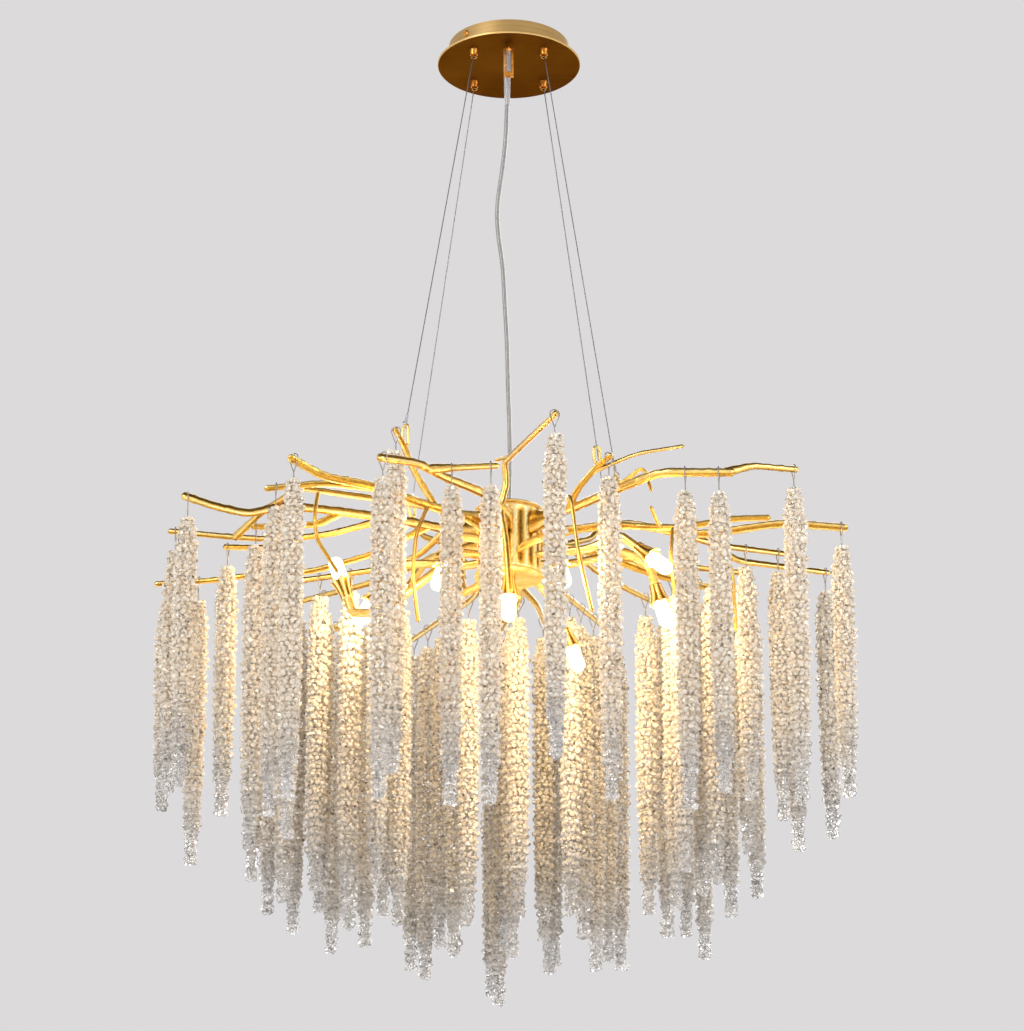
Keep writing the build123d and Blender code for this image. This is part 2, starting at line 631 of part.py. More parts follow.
# ---------------------------------------------------------------- suspension


def cable_anchors():
    """The top bar of each used hanger, in the order of the grips."""
    found = []
    for name, used in zip(("southwest", "southeast", "northwest", "northeast"), (0, 1, 0, 0)):
        limb_name, share, height = BOUGHS[name].hangers[used]
        place, radius = hanger_place(name, limb_name, share)
        found.append(place + Vector(0, 0, radius / 2 + height - HANGER_BAR / 2))
    return found


def cable_lines():
    """Each cable's top inside its grip, its hanger bar and the direction from top to bar."""
    top_z = PLATE_BOTTOM - CABLE_IN_GRIP
    lines = []
    for (x, y), anchor in zip(grip_places(), cable_anchors()):
        top = Vector(x, y, top_z)
        lines.append((top, anchor, (anchor - top).normalized()))
    return lines


def make_cable_grips():
    """Threaded barrels through the plate, with a cone below that takes cable and collar."""
    low = PLATE_BOTTOM
    grips = []
    for (x, y), (top, _, along) in zip(grip_places(), cable_lines()):
        barrel = Cylinder(GRIP_BARREL_RADIUS, PLATE_THICKNESS + GRIP_BARREL_TOP,
                          align=(Align.CENTER, Align.CENTER, Align.MIN))
        cone = Pos(0, 0, -GRIP_HEIGHT) * Cone(
            GRIP_TIP_RADIUS, GRIP_CONE_RADIUS, GRIP_HEIGHT, align=(Align.CENTER, Align.CENTER, Align.MIN))
        pocket_depth = COLLAR_LENGTH - COLLAR_SHOWN + COLLAR_TRAVEL + SEAT_GAP
        pocket = Pos(0, 0, -GRIP_HEIGHT) * Cylinder(
            COLLAR_RADIUS + SEAT_GAP, pocket_depth, align=(Align.CENTER, Align.CENTER, Align.MIN))
        grip = Pos(x, y, low) * (barrel + cone - pocket)
        bore = Cylinder(CABLE_RADIUS + BORE_GAP, 2 * CABLE_IN_GRIP)
        grips.append(grip - frame_along(top + along * CABLE_IN_GRIP, along).location * bore)
    return grips


def make_grip_nuts():
    """A hexagon nut on each barrel, tight on the pan's flange."""
    hexagon = RegularPolygon(NUT_ACROSS / 2, 6, major_radius=False) - Circle(GRIP_BARREL_RADIUS + BORE_GAP)
    nut = extrude(hexagon, amount=NUT_HEIGHT)
    return [Pos(x, y, -PAN_HEIGHT + PAN_WALL) * nut for x, y in grip_places()]


def make_grip_collar(place):
    """A release collar: pushed up, it frees the cable."""
    collar = Cylinder(COLLAR_RADIUS, COLLAR_LENGTH, align=(Align.CENTER, Align.CENTER, Align.MIN))
    collar -= Cylinder(COLLAR_BORE_RADIUS, 4 * COLLAR_LENGTH)
    x, y = place
    return Pos(x, y, PLATE_BOTTOM - GRIP_HEIGHT - COLLAR_SHOWN) * collar


def make_suspension_cables():
    """Four straight cables, each from inside its grip to its ferrule."""
    cables = []
    for top, anchor, along in cable_lines():
        length = (anchor - top).length - LOOP_RADIUS - FERRULE_LENGTH
        cable = Cylinder(CABLE_RADIUS, length, align=(Align.CENTER, Align.CENTER, Align.MIN))
        cables.append(frame_along(top, along).location * cable)
    return cables


def make_cable_ends():
    """A ferrule and a closed wire loop round each hanger's top bar."""
    ends = []
    for _, anchor, along in cable_lines():
        across = along.cross(Vector(0, 0, 1)).normalized()
        loop = Plane(origin=anchor, z_dir=across).location * Torus(LOOP_RADIUS, LOOP_WIRE)
        start = anchor - along * (LOOP_RADIUS + FERRULE_LENGTH)
        ferrule = Cylinder(FERRULE_RADIUS, FERRULE_LENGTH, align=(Align.CENTER, Align.CENTER, Align.MIN))
        ends.append(loop + frame_along(start, along).location * ferrule)
    return ends


def make_power_cord():
    """The cord as runs and tangent arcs along its chosen route."""
    path, radii = smooth_path(CORD_ROUTE, 0.45)
    print("power_cord radii", [round(radius) for radius in radii], "length", round(path.length))
    cord = rod(path, CORD_RADIUS)
    print("power_cord volume", round(cord.volume), "of", round(math.pi * CORD_RADIUS**2 * path.length))
    return cord


# ---------------------------------------------------------------- lamps


def lamp_seats():
    """Where each lamp cup sits and where it looks: the arms' ends, then the hub's floor."""
    seats = []
    for lamp in LAMPS:
        path = lamp_path(lamp)
        seats.append((path @ 1, path % 1))
    floor = Vector(0, 0, HUB_Z - HUB_HEIGHT / 2 - HUB_CAP_THICKNESS)
    return seats + [(floor, Vector(0, 0, -1))]


def lamp_path(lamp):
    """A lamp arm's path from its facet to its cup."""
    places = [from_hub(place) for place in lamp.places]
    return smooth_path(root_points(lamp.bearing, LAMP_ROW) + places, BEND_SHARE)[0]


def make_lamp_arms():
    """Bent tubes that carry the wires to the cups."""
    return [rod(lamp_path(lamp), LAMP_ARM_RADIUS, LAMP_ARM_BORE) for lamp in LAMPS]


def lamp_cup():
    """A flared cup on a flat foot, looking up Z."""
    low = (Align.CENTER, Align.CENTER, Align.MIN)
    cup = Cone(CUP_ROOT_RADIUS, CUP_MOUTH_RADIUS, CUP_LENGTH, align=low)
    hollow = Cone(CUP_ROOT_RADIUS - CUP_WALL, CUP_MOUTH_RADIUS - CUP_WALL, CUP_LENGTH, align=low)
    cup -= Pos(0, 0, 2 * CUP_WALL) * (hollow & Cylinder(CUP_MOUTH_RADIUS, CUP_LENGTH, align=low))
    return cup - Cylinder(LAMP_ARM_BORE, 8 * CUP_WALL)


def lamp_socket():
    """A ceramic holder on the cup's foot, with two pin holes."""
    low = (Align.CENTER, Align.CENTER, Align.MIN)
    socket = Cylinder(CUP_ROOT_RADIUS - CUP_WALL - SEAT_GAP, SOCKET_LENGTH, align=low)
    for side in (-1, 1):
        hole = Pos(side * PIN_SPACING / 2, 0, SOCKET_LENGTH - PIN_LENGTH - SEAT_GAP)
        socket -= hole * Cylinder(PIN_RADIUS + BORE_GAP, PIN_LENGTH + 1, align=low)
    return Pos(0, 0, 2 * CUP_WALL) * socket


def lamp_bulb():
    """A pin base capsule lamp: two pins, a flat glass base and a round ended envelope."""
    low = (Align.CENTER, Align.CENTER, Align.MIN)
    width, depth, height = BULB_BASE
    bulb = Box(depth, width, height, align=low)
    tube_length = BULB_LENGTH - BULB_RADIUS - height
    envelope = Cylinder(BULB_RADIUS, tube_length, align=low)
    envelope += Pos(0, 0, tube_length) * (Sphere(BULB_RADIUS) & Cylinder(BULB_RADIUS, BULB_RADIUS, align=low))
    envelope = chamfer(envelope.edges().group_by(Axis.Z)[0], 2.0)
    bulb += Pos(0, 0, height) * envelope
    for side in (-1, 1):
        pin = Cylinder(PIN_RADIUS, PIN_LENGTH, align=(Align.CENTER, Align.CENTER, Align.MAX))
        bulb += Pos(side * PIN_SPACING / 2, 0, 0) * pin
    return Pos(0, 0, 2 * CUP_WALL + SOCKET_LENGTH) * bulb


def at_lamps(solid):
    """One copy of a lamp piece at every lamp."""
    return [frame_along(place, along).location * solid for place, along in lamp_seats()]


# ---------------------------------------------------------------- strands


@cache
def strand_hook(twig_radius):
    """A closed wire loop over a twig along X through the origin, drawn together below it."""
    reach = twig_radius + HOOK_GAP + HOOK_WIRE
    # From straight down to where the wire leaves the round over the twig
    lean = math.acos(reach / HOOK_DROP)
    touch = (reach * math.sin(lean), -reach * math.cos(lean))
    side = Line((0, -HOOK_DROP), touch)
    over = CenterArc((0, 0), reach, -90 + math.degrees(lean), 180 - math.degrees(lean))
    path = Plane.YZ * Wire([side, over])
    half = sweep(Plane(origin=path @ 0, z_dir=path % 0) * Circle(HOOK_WIRE), path=path)
    stem = Pos(0, 0, -HOOK_DROP) * Cylinder(
        1.3 * HOOK_WIRE, HOOK_STEM, align=(Align.CENTER, Align.CENTER, Align.MAX))
    return half + mirror(half, about=Plane.XZ) + Pos(0, 0, -HOOK_DROP) * Sphere(1.6 * HOOK_WIRE) + stem


@cache
def bead_column(layers):
    """Layers of beads as one turned solid, its top at the origin."""
    points = [(0, 0), (BEAD_WAIST, 0)]
    for layer in range(layers):
        points.append((BEAD_CREST, -(layer + 0.5) * BEAD_PITCH))
        points.append((BEAD_WAIST, -(layer + 1) * BEAD_PITCH))
    points.append((0, -layers * BEAD_PITCH))
    return revolve(Plane.XZ * make_face(Polyline(*points, close=True)), Axis.Z)


@cache
def strand(twig_radius, layers):
    """A hook with its beads."""
    return strand_hook(twig_radius) + Pos(0, 0, -HOOK_DROP - HOOK_STEM) * bead_column(layers)


def make_strands(name, limb):
    """The strands on a limb's last run, each hook square to the run as seen from above."""
    path = limb_paths(name)[limb.name]
    inward = (path % 1) * -1
    first = path @ 1 + inward * (limb.radius * KNOB_RATIO + 2 * HOOK_WIRE + SEAT_GAP)
    bearing = math.degrees(math.atan2(inward.Y, inward.X))
    return [Pos(first + inward * back) * Rot(Z=bearing) * strand(limb.radius, layers)
            for back, layers in limb.strands]


def main():
    os.makedirs("parts", exist_ok=True)
    write("ceiling_bracket", make_ceiling_bracket())
    write("canopy_pan", make_canopy_pan())
    write("canopy_plate", make_canopy_plate())
    write("canopy_side_screws", make_side_screws())
    write("terminal_block", make_terminal_block())
    write("canopy_eye", make_canopy_eye())
    write("safety_link", make_safety_link())
    write("cord_relief", make_cord_relief())
    write("power_cord", make_power_cord())
    write("cable_grips", make_cable_grips())
    write("grip_nuts", make_grip_nuts())
    for place, corner in zip(grip_places(), ("front_left", "front_right", "back_left", "back_right")):
        write(f"grip_collar_{corner}", make_grip_collar(place))
    write("suspension_cables", make_suspension_cables())
    write("cable_ends", make_cable_ends())
    write("hub_drum", make_hub_drum())
    write("hub_cap", make_hub_cap())
    write("hub_base", make_hub_base())
    write("branch_screws", make_branch_screws())
    write("lamp_arms", make_lamp_arms())
    write("lamp_cups", at_lamps(lamp_cup()))
    write("lamp_sockets", at_lamps(lamp_socket()))
    write("bulbs", at_lamps(lamp_bulb()))
    for name, bough in BOUGHS.items():
        write(f"{name}_bough", make_bough(name))
        for limb in bough.limbs:
            if limb.strands:
                write(f"{name}_{limb.name}_strands", make_strands(name, limb))


if __name__ == "__main__":
    main()
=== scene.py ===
"""A crystal chandelier, dressed: brushed gold canopy, cast gold branches round a fluted hub,
warm pin bulbs and long strands of cut glass beads, seen from a little below.

Metres, +Z up, and the origin in the middle of the canopy's top, in the ceiling's plane.
"""

import json
import math

import bmesh
import bpy
import numpy as np
from mathutils import Matrix, Vector


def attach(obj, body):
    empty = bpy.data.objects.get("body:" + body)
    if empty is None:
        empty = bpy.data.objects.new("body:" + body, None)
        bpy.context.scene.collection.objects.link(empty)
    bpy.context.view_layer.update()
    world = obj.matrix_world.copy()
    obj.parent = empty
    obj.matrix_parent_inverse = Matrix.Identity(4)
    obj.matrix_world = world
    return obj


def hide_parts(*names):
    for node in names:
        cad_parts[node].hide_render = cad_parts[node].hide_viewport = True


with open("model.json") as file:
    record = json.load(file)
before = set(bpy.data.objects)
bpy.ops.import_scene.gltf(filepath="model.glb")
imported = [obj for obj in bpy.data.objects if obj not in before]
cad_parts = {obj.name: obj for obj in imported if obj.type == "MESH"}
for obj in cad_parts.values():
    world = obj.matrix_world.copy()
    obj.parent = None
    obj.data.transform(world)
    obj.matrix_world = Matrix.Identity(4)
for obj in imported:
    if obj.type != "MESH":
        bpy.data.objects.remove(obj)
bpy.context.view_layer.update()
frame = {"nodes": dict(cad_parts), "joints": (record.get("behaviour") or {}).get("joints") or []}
BODY = "chandelier_frame"


# ---------------------------------------------------------------- photograph
# The camera stands about 4.2 m in front and 2.2 m below the ceiling and looks up at the lamp
# by 21 degrees, through a long lens.

camera = bpy.data.objects.new("camera", bpy.data.cameras.new("camera"))
bpy.context.scene.collection.objects.link(camera)
camera.data.sensor_width = 36
camera.data.lens = 138.9
camera.location = (0.0036, -4.2, -2.202)
camera.rotation_euler = (math.radians(90 + 20.96), 0, 0)
bpy.context.scene.camera = camera
bpy.context.scene.view_settings.view_transform = "Standard"


# ---------------------------------------------------------------- studio
# A seamless pale grey room with large soft boxes. The backdrop's grey is what the camera,
# the metal and the glass see; the lamps light the object apart from it.

def colour(code):
    """An sRGB hex value as linear red, green, blue and alpha."""
    parts = [int(code[k:k + 2], 16) / 255 for k in (1, 3, 5)]
    return [c / 12.92 if c <= 0.04045 else ((c + 0.055) / 1.055) ** 2.4 for c in parts] + [1.0]


def add(tree, kind, inputs=(), **settings):
    """Adds a node, with its settings, and its inputs set to values or linked to sockets."""
    made = tree.nodes.new(kind)
    for key, value in settings.items():
        setattr(made, key, value)
    for key, value in dict(inputs).items():
        if isinstance(value, bpy.types.NodeSocket):
            tree.links.new(value, made.inputs[key])
        else:
            made.inputs[key].default_value = value
    return made


def maths(tree, operation, *values):
    """The result of a maths node on numbers or sockets."""
    return add(tree, "ShaderNodeMath", dict(enumerate(values)), operation=operation).outputs[0]


def spread(tree, value, to_min, to_max, from_min=0.0, from_max=1.0):
    """A value taken from one range to another, and held at its ends."""
    return add(tree, "ShaderNodeMapRange",
               {"Value": value, "From Min": from_min, "From Max": from_max,
                "To Min": to_min, "To Max": to_max}).outputs[0]


def seen_ray(tree):
    """1 for a ray from the camera, or one that metal or glass sends on to the background."""
    path = add(tree, "ShaderNodeLightPath").outputs
    either = maths(tree, "MAXIMUM", path["Is Camera Ray"], path["Is Glossy Ray"])
    return maths(tree, "MAXIMUM", either, path["Is Transmission Ray"])


BACKDROP = "#DCDADB"

world = bpy.data.worlds.new("studio")
bpy.context.scene.world = world
world.use_nodes = True
room = world.node_tree
room.nodes.clear()
# Metal sees a dark ceiling above the pale walls, which draws dark upper edges on it
direction = add(room, "ShaderNodeTexCoord").outputs["Generated"]
upward = add(room, "ShaderNodeSeparateXYZ", {0: direction}).outputs["Z"]
ceiling = spread(room, upward, 1.15, 0.06, 0.5, 0.8)
glossy = add(room, "ShaderNodeLightPath").outputs["Is Glossy Ray"]
wall_strength = add(room, "ShaderNodeMix", {0: glossy, "A": 1.0, "B": ceiling}).outputs[0]
fill = add(room, "ShaderNodeBackground", {"Color": colour("#FFFCF6"), "Strength": 1.2})
wall = add(room, "ShaderNodeBackground", {"Color": colour(BACKDROP), "Strength": wall_strength})
room_mix = add(room, "ShaderNodeMixShader",
               {0: seen_ray(room), 1: fill.outputs[0], 2: wall.outputs[0]})
add(room, "ShaderNodeOutputWorld", {"Surface": room_mix.outputs[0]})

FLOOR_REACH, FLOOR_LEVEL = 14, -2.9
floor_mesh = bpy.data.meshes.new("floor")
floor_mesh.from_pydata([(x * FLOOR_REACH, y * FLOOR_REACH, FLOOR_LEVEL)
                        for x, y in ((-1, -1), (1, -1), (1, 1), (-1, 1))], [], [(0, 1, 2, 3)])
floor = bpy.data.objects.new("floor", floor_mesh)
bpy.context.scene.collection.objects.link(floor)
paper = bpy.data.materials.new("seamless_paper")
paper.use_nodes = True
# Matt paper with a faint glow that only the camera, metal and glass see
tree = paper.node_tree
tree.nodes.clear()
matt = add(tree, "ShaderNodeBsdfDiffuse", {"Color": colour("#D8D6D7")})
lit = add(tree, "ShaderNodeEmission", {"Color": colour(BACKDROP), "Strength": 0.55})
dark = add(tree, "ShaderNodeEmission", {"Strength": 0.0})
paper_glow = add(tree, "ShaderNodeMixShader",
                 {0: seen_ray(tree), 1: dark.outputs[0], 2: lit.outputs[0]})
paper_sum = add(tree, "ShaderNodeAddShader", {0: matt.outputs[0], 1: paper_glow.outputs[0]})
add(tree, "ShaderNodeOutputMaterial", {"Surface": paper_sum.outputs[0]})
floor_mesh.materials.append(paper)


CROWN = Vector((0, 0, -0.6))


def soft_box(name, place, size, power):
    """A square area light of so many watts that looks at the lamp's crown."""
    lamp = bpy.data.objects.new(name, bpy.data.lights.new(name, "AREA"))
    lamp.data.size = size
    lamp.data.energy = power
    lamp.location = place
    lamp.rotation_euler = (CROWN - Vector(place)).to_track_quat("-Z", "Y").to_euler()
    bpy.context.scene.collection.objects.link(lamp)


soft_box("key_box", (-2.6, -3.0, 0.9), 1.8, 64)
soft_box("fill_box", (3.0, -2.4, -0.6), 1.6, 44)
soft_box("back_box", (0.4, 3.0, 1.0), 2.2, 40)


# ---------------------------------------------------------------- power cord
# A 5 mm mains cord, clear sheath over silver braid, from the canopy's sleeve down to the
# gland on the hub. It is a little longer than the way and hangs in a slight bend.

def new_material(name):
    """An empty node material with its Principled shader and Object coordinates."""
    made = bpy.data.materials.new(name)
    made.use_nodes = True
    tree = made.node_tree
    tree.nodes.clear()
    shader = add(tree, "ShaderNodeBsdfPrincipled")
    add(tree, "ShaderNodeOutputMaterial", {"Surface": shader.outputs[0]})
    place = add(tree, "ShaderNodeTexCoord").outputs["Object"]
    return made, tree, shader, place


def noise(tree, place, *scale):
    """Fine noise with a scale for each axis: a low one draws it out, as lines from a brush."""
    mapped = add(tree, "ShaderNodeMapping", {"Vector": place, "Scale": scale})
    return add(tree, "ShaderNodeTexNoise", {"Vector": mapped.outputs[0], "Scale": 1.0,
                                            "Detail": 3.0, "Roughness": 0.6}).outputs["Fac"]


def ramp(tree, factor, stops):
    """A colour ramp through (position, hex) stops."""
    made = add(tree, "ShaderNodeValToRGB", {"Fac": factor})
    elements = made.color_ramp.elements
    while len(elements) < len(stops):
        elements.new(0.5)
    for element, (position, code) in zip(elements, stops):
        element.position = position
        element.color = colour(code)
    return made.outputs["Color"]


def bump(tree, shader, height, depth, strength=1.0):
    """Raises the shader's surface by a height of so many metres."""
    made = add(tree, "ShaderNodeBump", {"Height": height, "Distance": depth, "Strength": strength})
    tree.links.new(made.outputs[0], shader.inputs["Normal"])


def set_inputs(tree, shader, base_colour, **values):
    """Links the base colour and sets other inputs, with _ for the spaces in their names."""
    tree.links.new(base_colour, shader.inputs["Base Color"])
    for key, value in values.items():
        shader.inputs[key.replace("_", " ")].default_value = value


# Places on the cord, in millimetres, from the sleeve down to the gland
CORD_ROUTE = (
    (-2, -40, -40),
    (-2, -40, -92),
    (-4, -39, -146),
    (-9, -36, -188),
    (-14, -33, -222),
    (-13, -30, -256),
    (-7, -27, -294),
    (-5, -23, -338),
    (-2, -18, -388),
    (-1, -12, -442),
    (1, -6, -494),
    (1, -2, -540),
    (0, 0, -583),
)

# Clear PVC over tinned copper braid: grey, a little glossy, with the braid's fine criss-cross
sheath, tree, shader, place = new_material("clear_pvc_over_braid")
braid = add(tree, "ShaderNodeTexVoronoi", {"Vector": place, "Scale": 1100.0}).outputs["Distance"]
set_inputs(tree, shader, ramp(tree, braid, ((0.2, "#9C9A98"), (0.6, "#7C7A79"), (0.9, "#615F5F"))),
           Roughness=0.22, Metallic=0.25, Coat_Weight=0.8)
bump(tree, shader, braid, 0.0002)


def cord_curve(name, points, diameter, material):
    """A round cord on one open NURBS line through its route in metres."""
    data = bpy.data.curves.new(name, "CURVE")
    data.dimensions = "3D"
    data.bevel_depth = diameter / 2
    data.bevel_resolution = 3
    data.resolution_u = 10
    data.use_fill_caps = True
    spline = data.splines.new("NURBS")
    spline.points.add(len(points) - 1)
    for point, where in zip(spline.points, points):
        point.co = (*where, 1)
    spline.order_u = 3
    spline.use_endpoint_u = True
    data.materials.append(material)
    made = bpy.data.objects.new(name, data)
    bpy.context.scene.collection.objects.link(made)
    return made


route = [Vector(point) / 1000 for point in CORD_ROUTE]
cord = cord_curve("mains_cord", route, 0.005, sheath)
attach(cord, BODY)
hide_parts("power_cord")


# ---------------------------------------------------------------- suspension cables
# Four 1.2 mm steel wire ropes, taut, from the grips under the canopy to loops round the
# branches' hangers. They carry the whole weight; the cord carries none.

def middle_of(corners):
    """The mean of some corners."""
    corners = list(corners)
    return sum(corners, Vector()) / len(corners)


def shells(node):
    """A CAD node's separate solids, as lists of corners, in order of their middles' x, y, z."""
    data = frame["nodes"][node].data
    work = bmesh.new()
    work.from_mesh(data)
    bmesh.ops.remove_doubles(work, verts=work.verts, dist=2e-6)
    reached, found = set(), []
    for first in work.verts:
        if first in reached:
            continue
        reached.add(first)
        group = [first]
        for corner in group:  # the group grows while it is gone through
            for line in corner.link_edges:
                other = line.other_vert(corner)
                if other not in reached:
                    reached.add(other)
                    group.append(other)
        found.append([corner.co.copy() for corner in group])
    work.free()
    return sorted(found, key=lambda corners: [round(c, 4) for c in middle_of(corners)])


def clouded(name, scale, stops, depth=0.0, strength=1.0, **values):
    """A material whose colour, and height to a depth in metres, follow fine noise."""
    made, tree, shader, place = new_material(name)
    cloud = noise(tree, place, *scale)
    set_inputs(tree, shader, ramp(tree, cloud, stops), **values)
    if depth:
        bump(tree, shader, cloud, depth, strength)
    return made


# Stainless rope: grey, with darker lines of painted shade in the hollows between its wires
rope = clouded("stainless_wire_rope", (900, 900, 500),
               ((0.3, "#56555A"), (0.5, "#7C7B80"), (0.7, "#A19FA5")), 0.0002,
               Metallic=0.9, Roughness=0.32)

CABLE_END = 0.003  # the corners this near a cable's end stand for the end


def bearing(corners):
    """The way to a solid from the lamp's middle, least at the front left, most at the back left."""
    middle = middle_of(corners)
    return math.atan2(middle.y, middle.x)


for number, corners in enumerate(sorted(shells("suspension_cables"), key=bearing)):
    high = max(corner.z for corner in corners)
    low = min(corner.z for corner in corners)
    top = middle_of(corner for corner in corners if corner.z > high - CABLE_END)
    foot = middle_of(corner for corner in corners if corner.z < low + CABLE_END)
    cable = cord_curve(f"suspension_cable_{number + 1}", [top, top.lerp(foot, 0.5), foot],
                       0.0012, rope)
    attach(cable, BODY)
    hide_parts("suspension_cables")


# ---------------------------------------------------------------- canopy
# A spun and brushed brass pan with a wider brushed disc under it, lacquered. From below the
# disc is painted dark bronze as shade, its chamfered rim and top are painted pale gold as a
# highlight, and the pan's side catches the light.

def dress(nodes, material):
    """Gives carried-over CAD pieces their finish."""
    for node in nodes:
        data = frame["nodes"][node].data
        data.materials.clear()
        data.materials.append(material)


# Brushed lacquered brass, side: fine level lines round the wall, light gold
pan_brass, tree, shader, place = new_material("brushed_brass_side")
lines = noise(tree, place, 6, 6, 1400)
cloud = noise(tree, place, 14, 14, 30)
mixed = add(tree, "ShaderNodeMix", {0: 0.4, "A": lines, "B": cloud}, data_type="FLOAT").outputs[0]
set_inputs(tree, shader, ramp(tree, mixed, ((0.3, "#9C7C48"), (0.5, "#AE8E58"), (0.72, "#BF9F6A"))),
           Metallic=0.7, Roughness=0.48)
bump(tree, shader, lines, 0.0001, 0.5)
dress(["canopy_pan"], pan_brass)

# Brushed lacquered brass, underside: straight lines along X, with painted shade that makes it
# dark bronze below and a painted highlight that makes it pale gold at the rim and on top, told
# apart by which way the surface faces
disc_brass, tree, shader, place = new_material("brushed_brass_underside")
lines = noise(tree, place, 5, 900, 900)
cloud = noise(tree, place, 9, 9, 9)
mixed = add(tree, "ShaderNodeMix", {0: 0.5, "A": lines, "B": cloud}, data_type="FLOAT").outputs[0]
under = ramp(tree, mixed, ((0.3, "#4A3313"), (0.5, "#61431A"), (0.72, "#765424")))
painted_rim_highlight = ramp(tree, mixed, ((0.3, "#D2A45A"), (0.7, "#F2D193")))
facing = add(tree, "ShaderNodeNewGeometry").outputs["Normal"]
down = add(tree, "ShaderNodeSeparateXYZ", {0: facing}).outputs["Z"]
painted_shade_mask = maths(tree, "LESS_THAN", down, -0.95)
disc_colour = add(tree, "ShaderNodeMix", {0: painted_shade_mask, 6: painted_rim_highlight, 7: under}, data_type="RGBA")
set_inputs(tree, shader, disc_colour.outputs[2], Specular_Tint=colour("#A07A48"),
           Metallic=1.0, Roughness=0.45)
bump(tree, shader, lines, 0.0001, 0.4)
dress(["canopy_plate"], disc_brass)

# Polished brass fittings: screws, grips, collars, eye and link, bright with a little orange
fitting_brass = clouded("polished_brass_fittings", (160, 160, 160),
                        ((0.3, "#A8651C"), (0.5, "#D08A33"), (0.7, "#EDB45C")), 0.0003, 0.4,
                        Metallic=0.9, Roughness=0.22)
dress(["canopy_eye", "safety_link", "cable_grips", "canopy_side_screws"], fitting_brass)
dress([node for node in frame["nodes"] if node.startswith("grip_collar")], fitting_brass)

# Zinc plated steel: hidden screws and nuts, the cables' ends and the bracket inside the
# canopy, cool and slightly mottled
zinc = clouded("zinc_plated_steel", (220, 220, 220), ((0.35, "#A9ABAF"), (0.65, "#CED0D2")),
               Metallic=0.95, Roughness=0.35)
dress(["ceiling_bracket", "grip_nuts", "branch_screws", "cable_ends"], zinc)

# Terminal block: matt moulded polyamide, off white
nylon = clouded("moulded_polyamide", (500, 500, 500), ((0.3, "#E4E3DD"), (0.7, "#F0EFEA")),
                0.0002, 0.5, Roughness=0.55)
dress(["terminal_block"], nylon)

# Cord sleeve: clear flexible PVC, moulded, with a faint grain
clear_pvc = clouded("clear_moulded_pvc", (300, 300, 120), ((0.3, "#DEDDE0"), (0.7, "#F6F5F7")),
                    0.0003, 0.6, Transmission_Weight=0.75, Roughness=0.18, IOR=1.52)
dress(["cord_relief"], clear_pvc)


# ---------------------------------------------------------------- branches
# Cast brass boughs, polished and gilded, each from one mould: limbs with long grooves like
# bark, a knuckle every few centimetres and a knob at every tip. They are screwed to the hub.

HUB = Vector((0, 0, -0.628))
HUB_APOTHEM = 0.036
BOUGH_ROW = 0.016  # how far the boughs' roots lie above the hub's centre
ROOT_RUN = 0.022  # how far a bough runs straight out of the hub

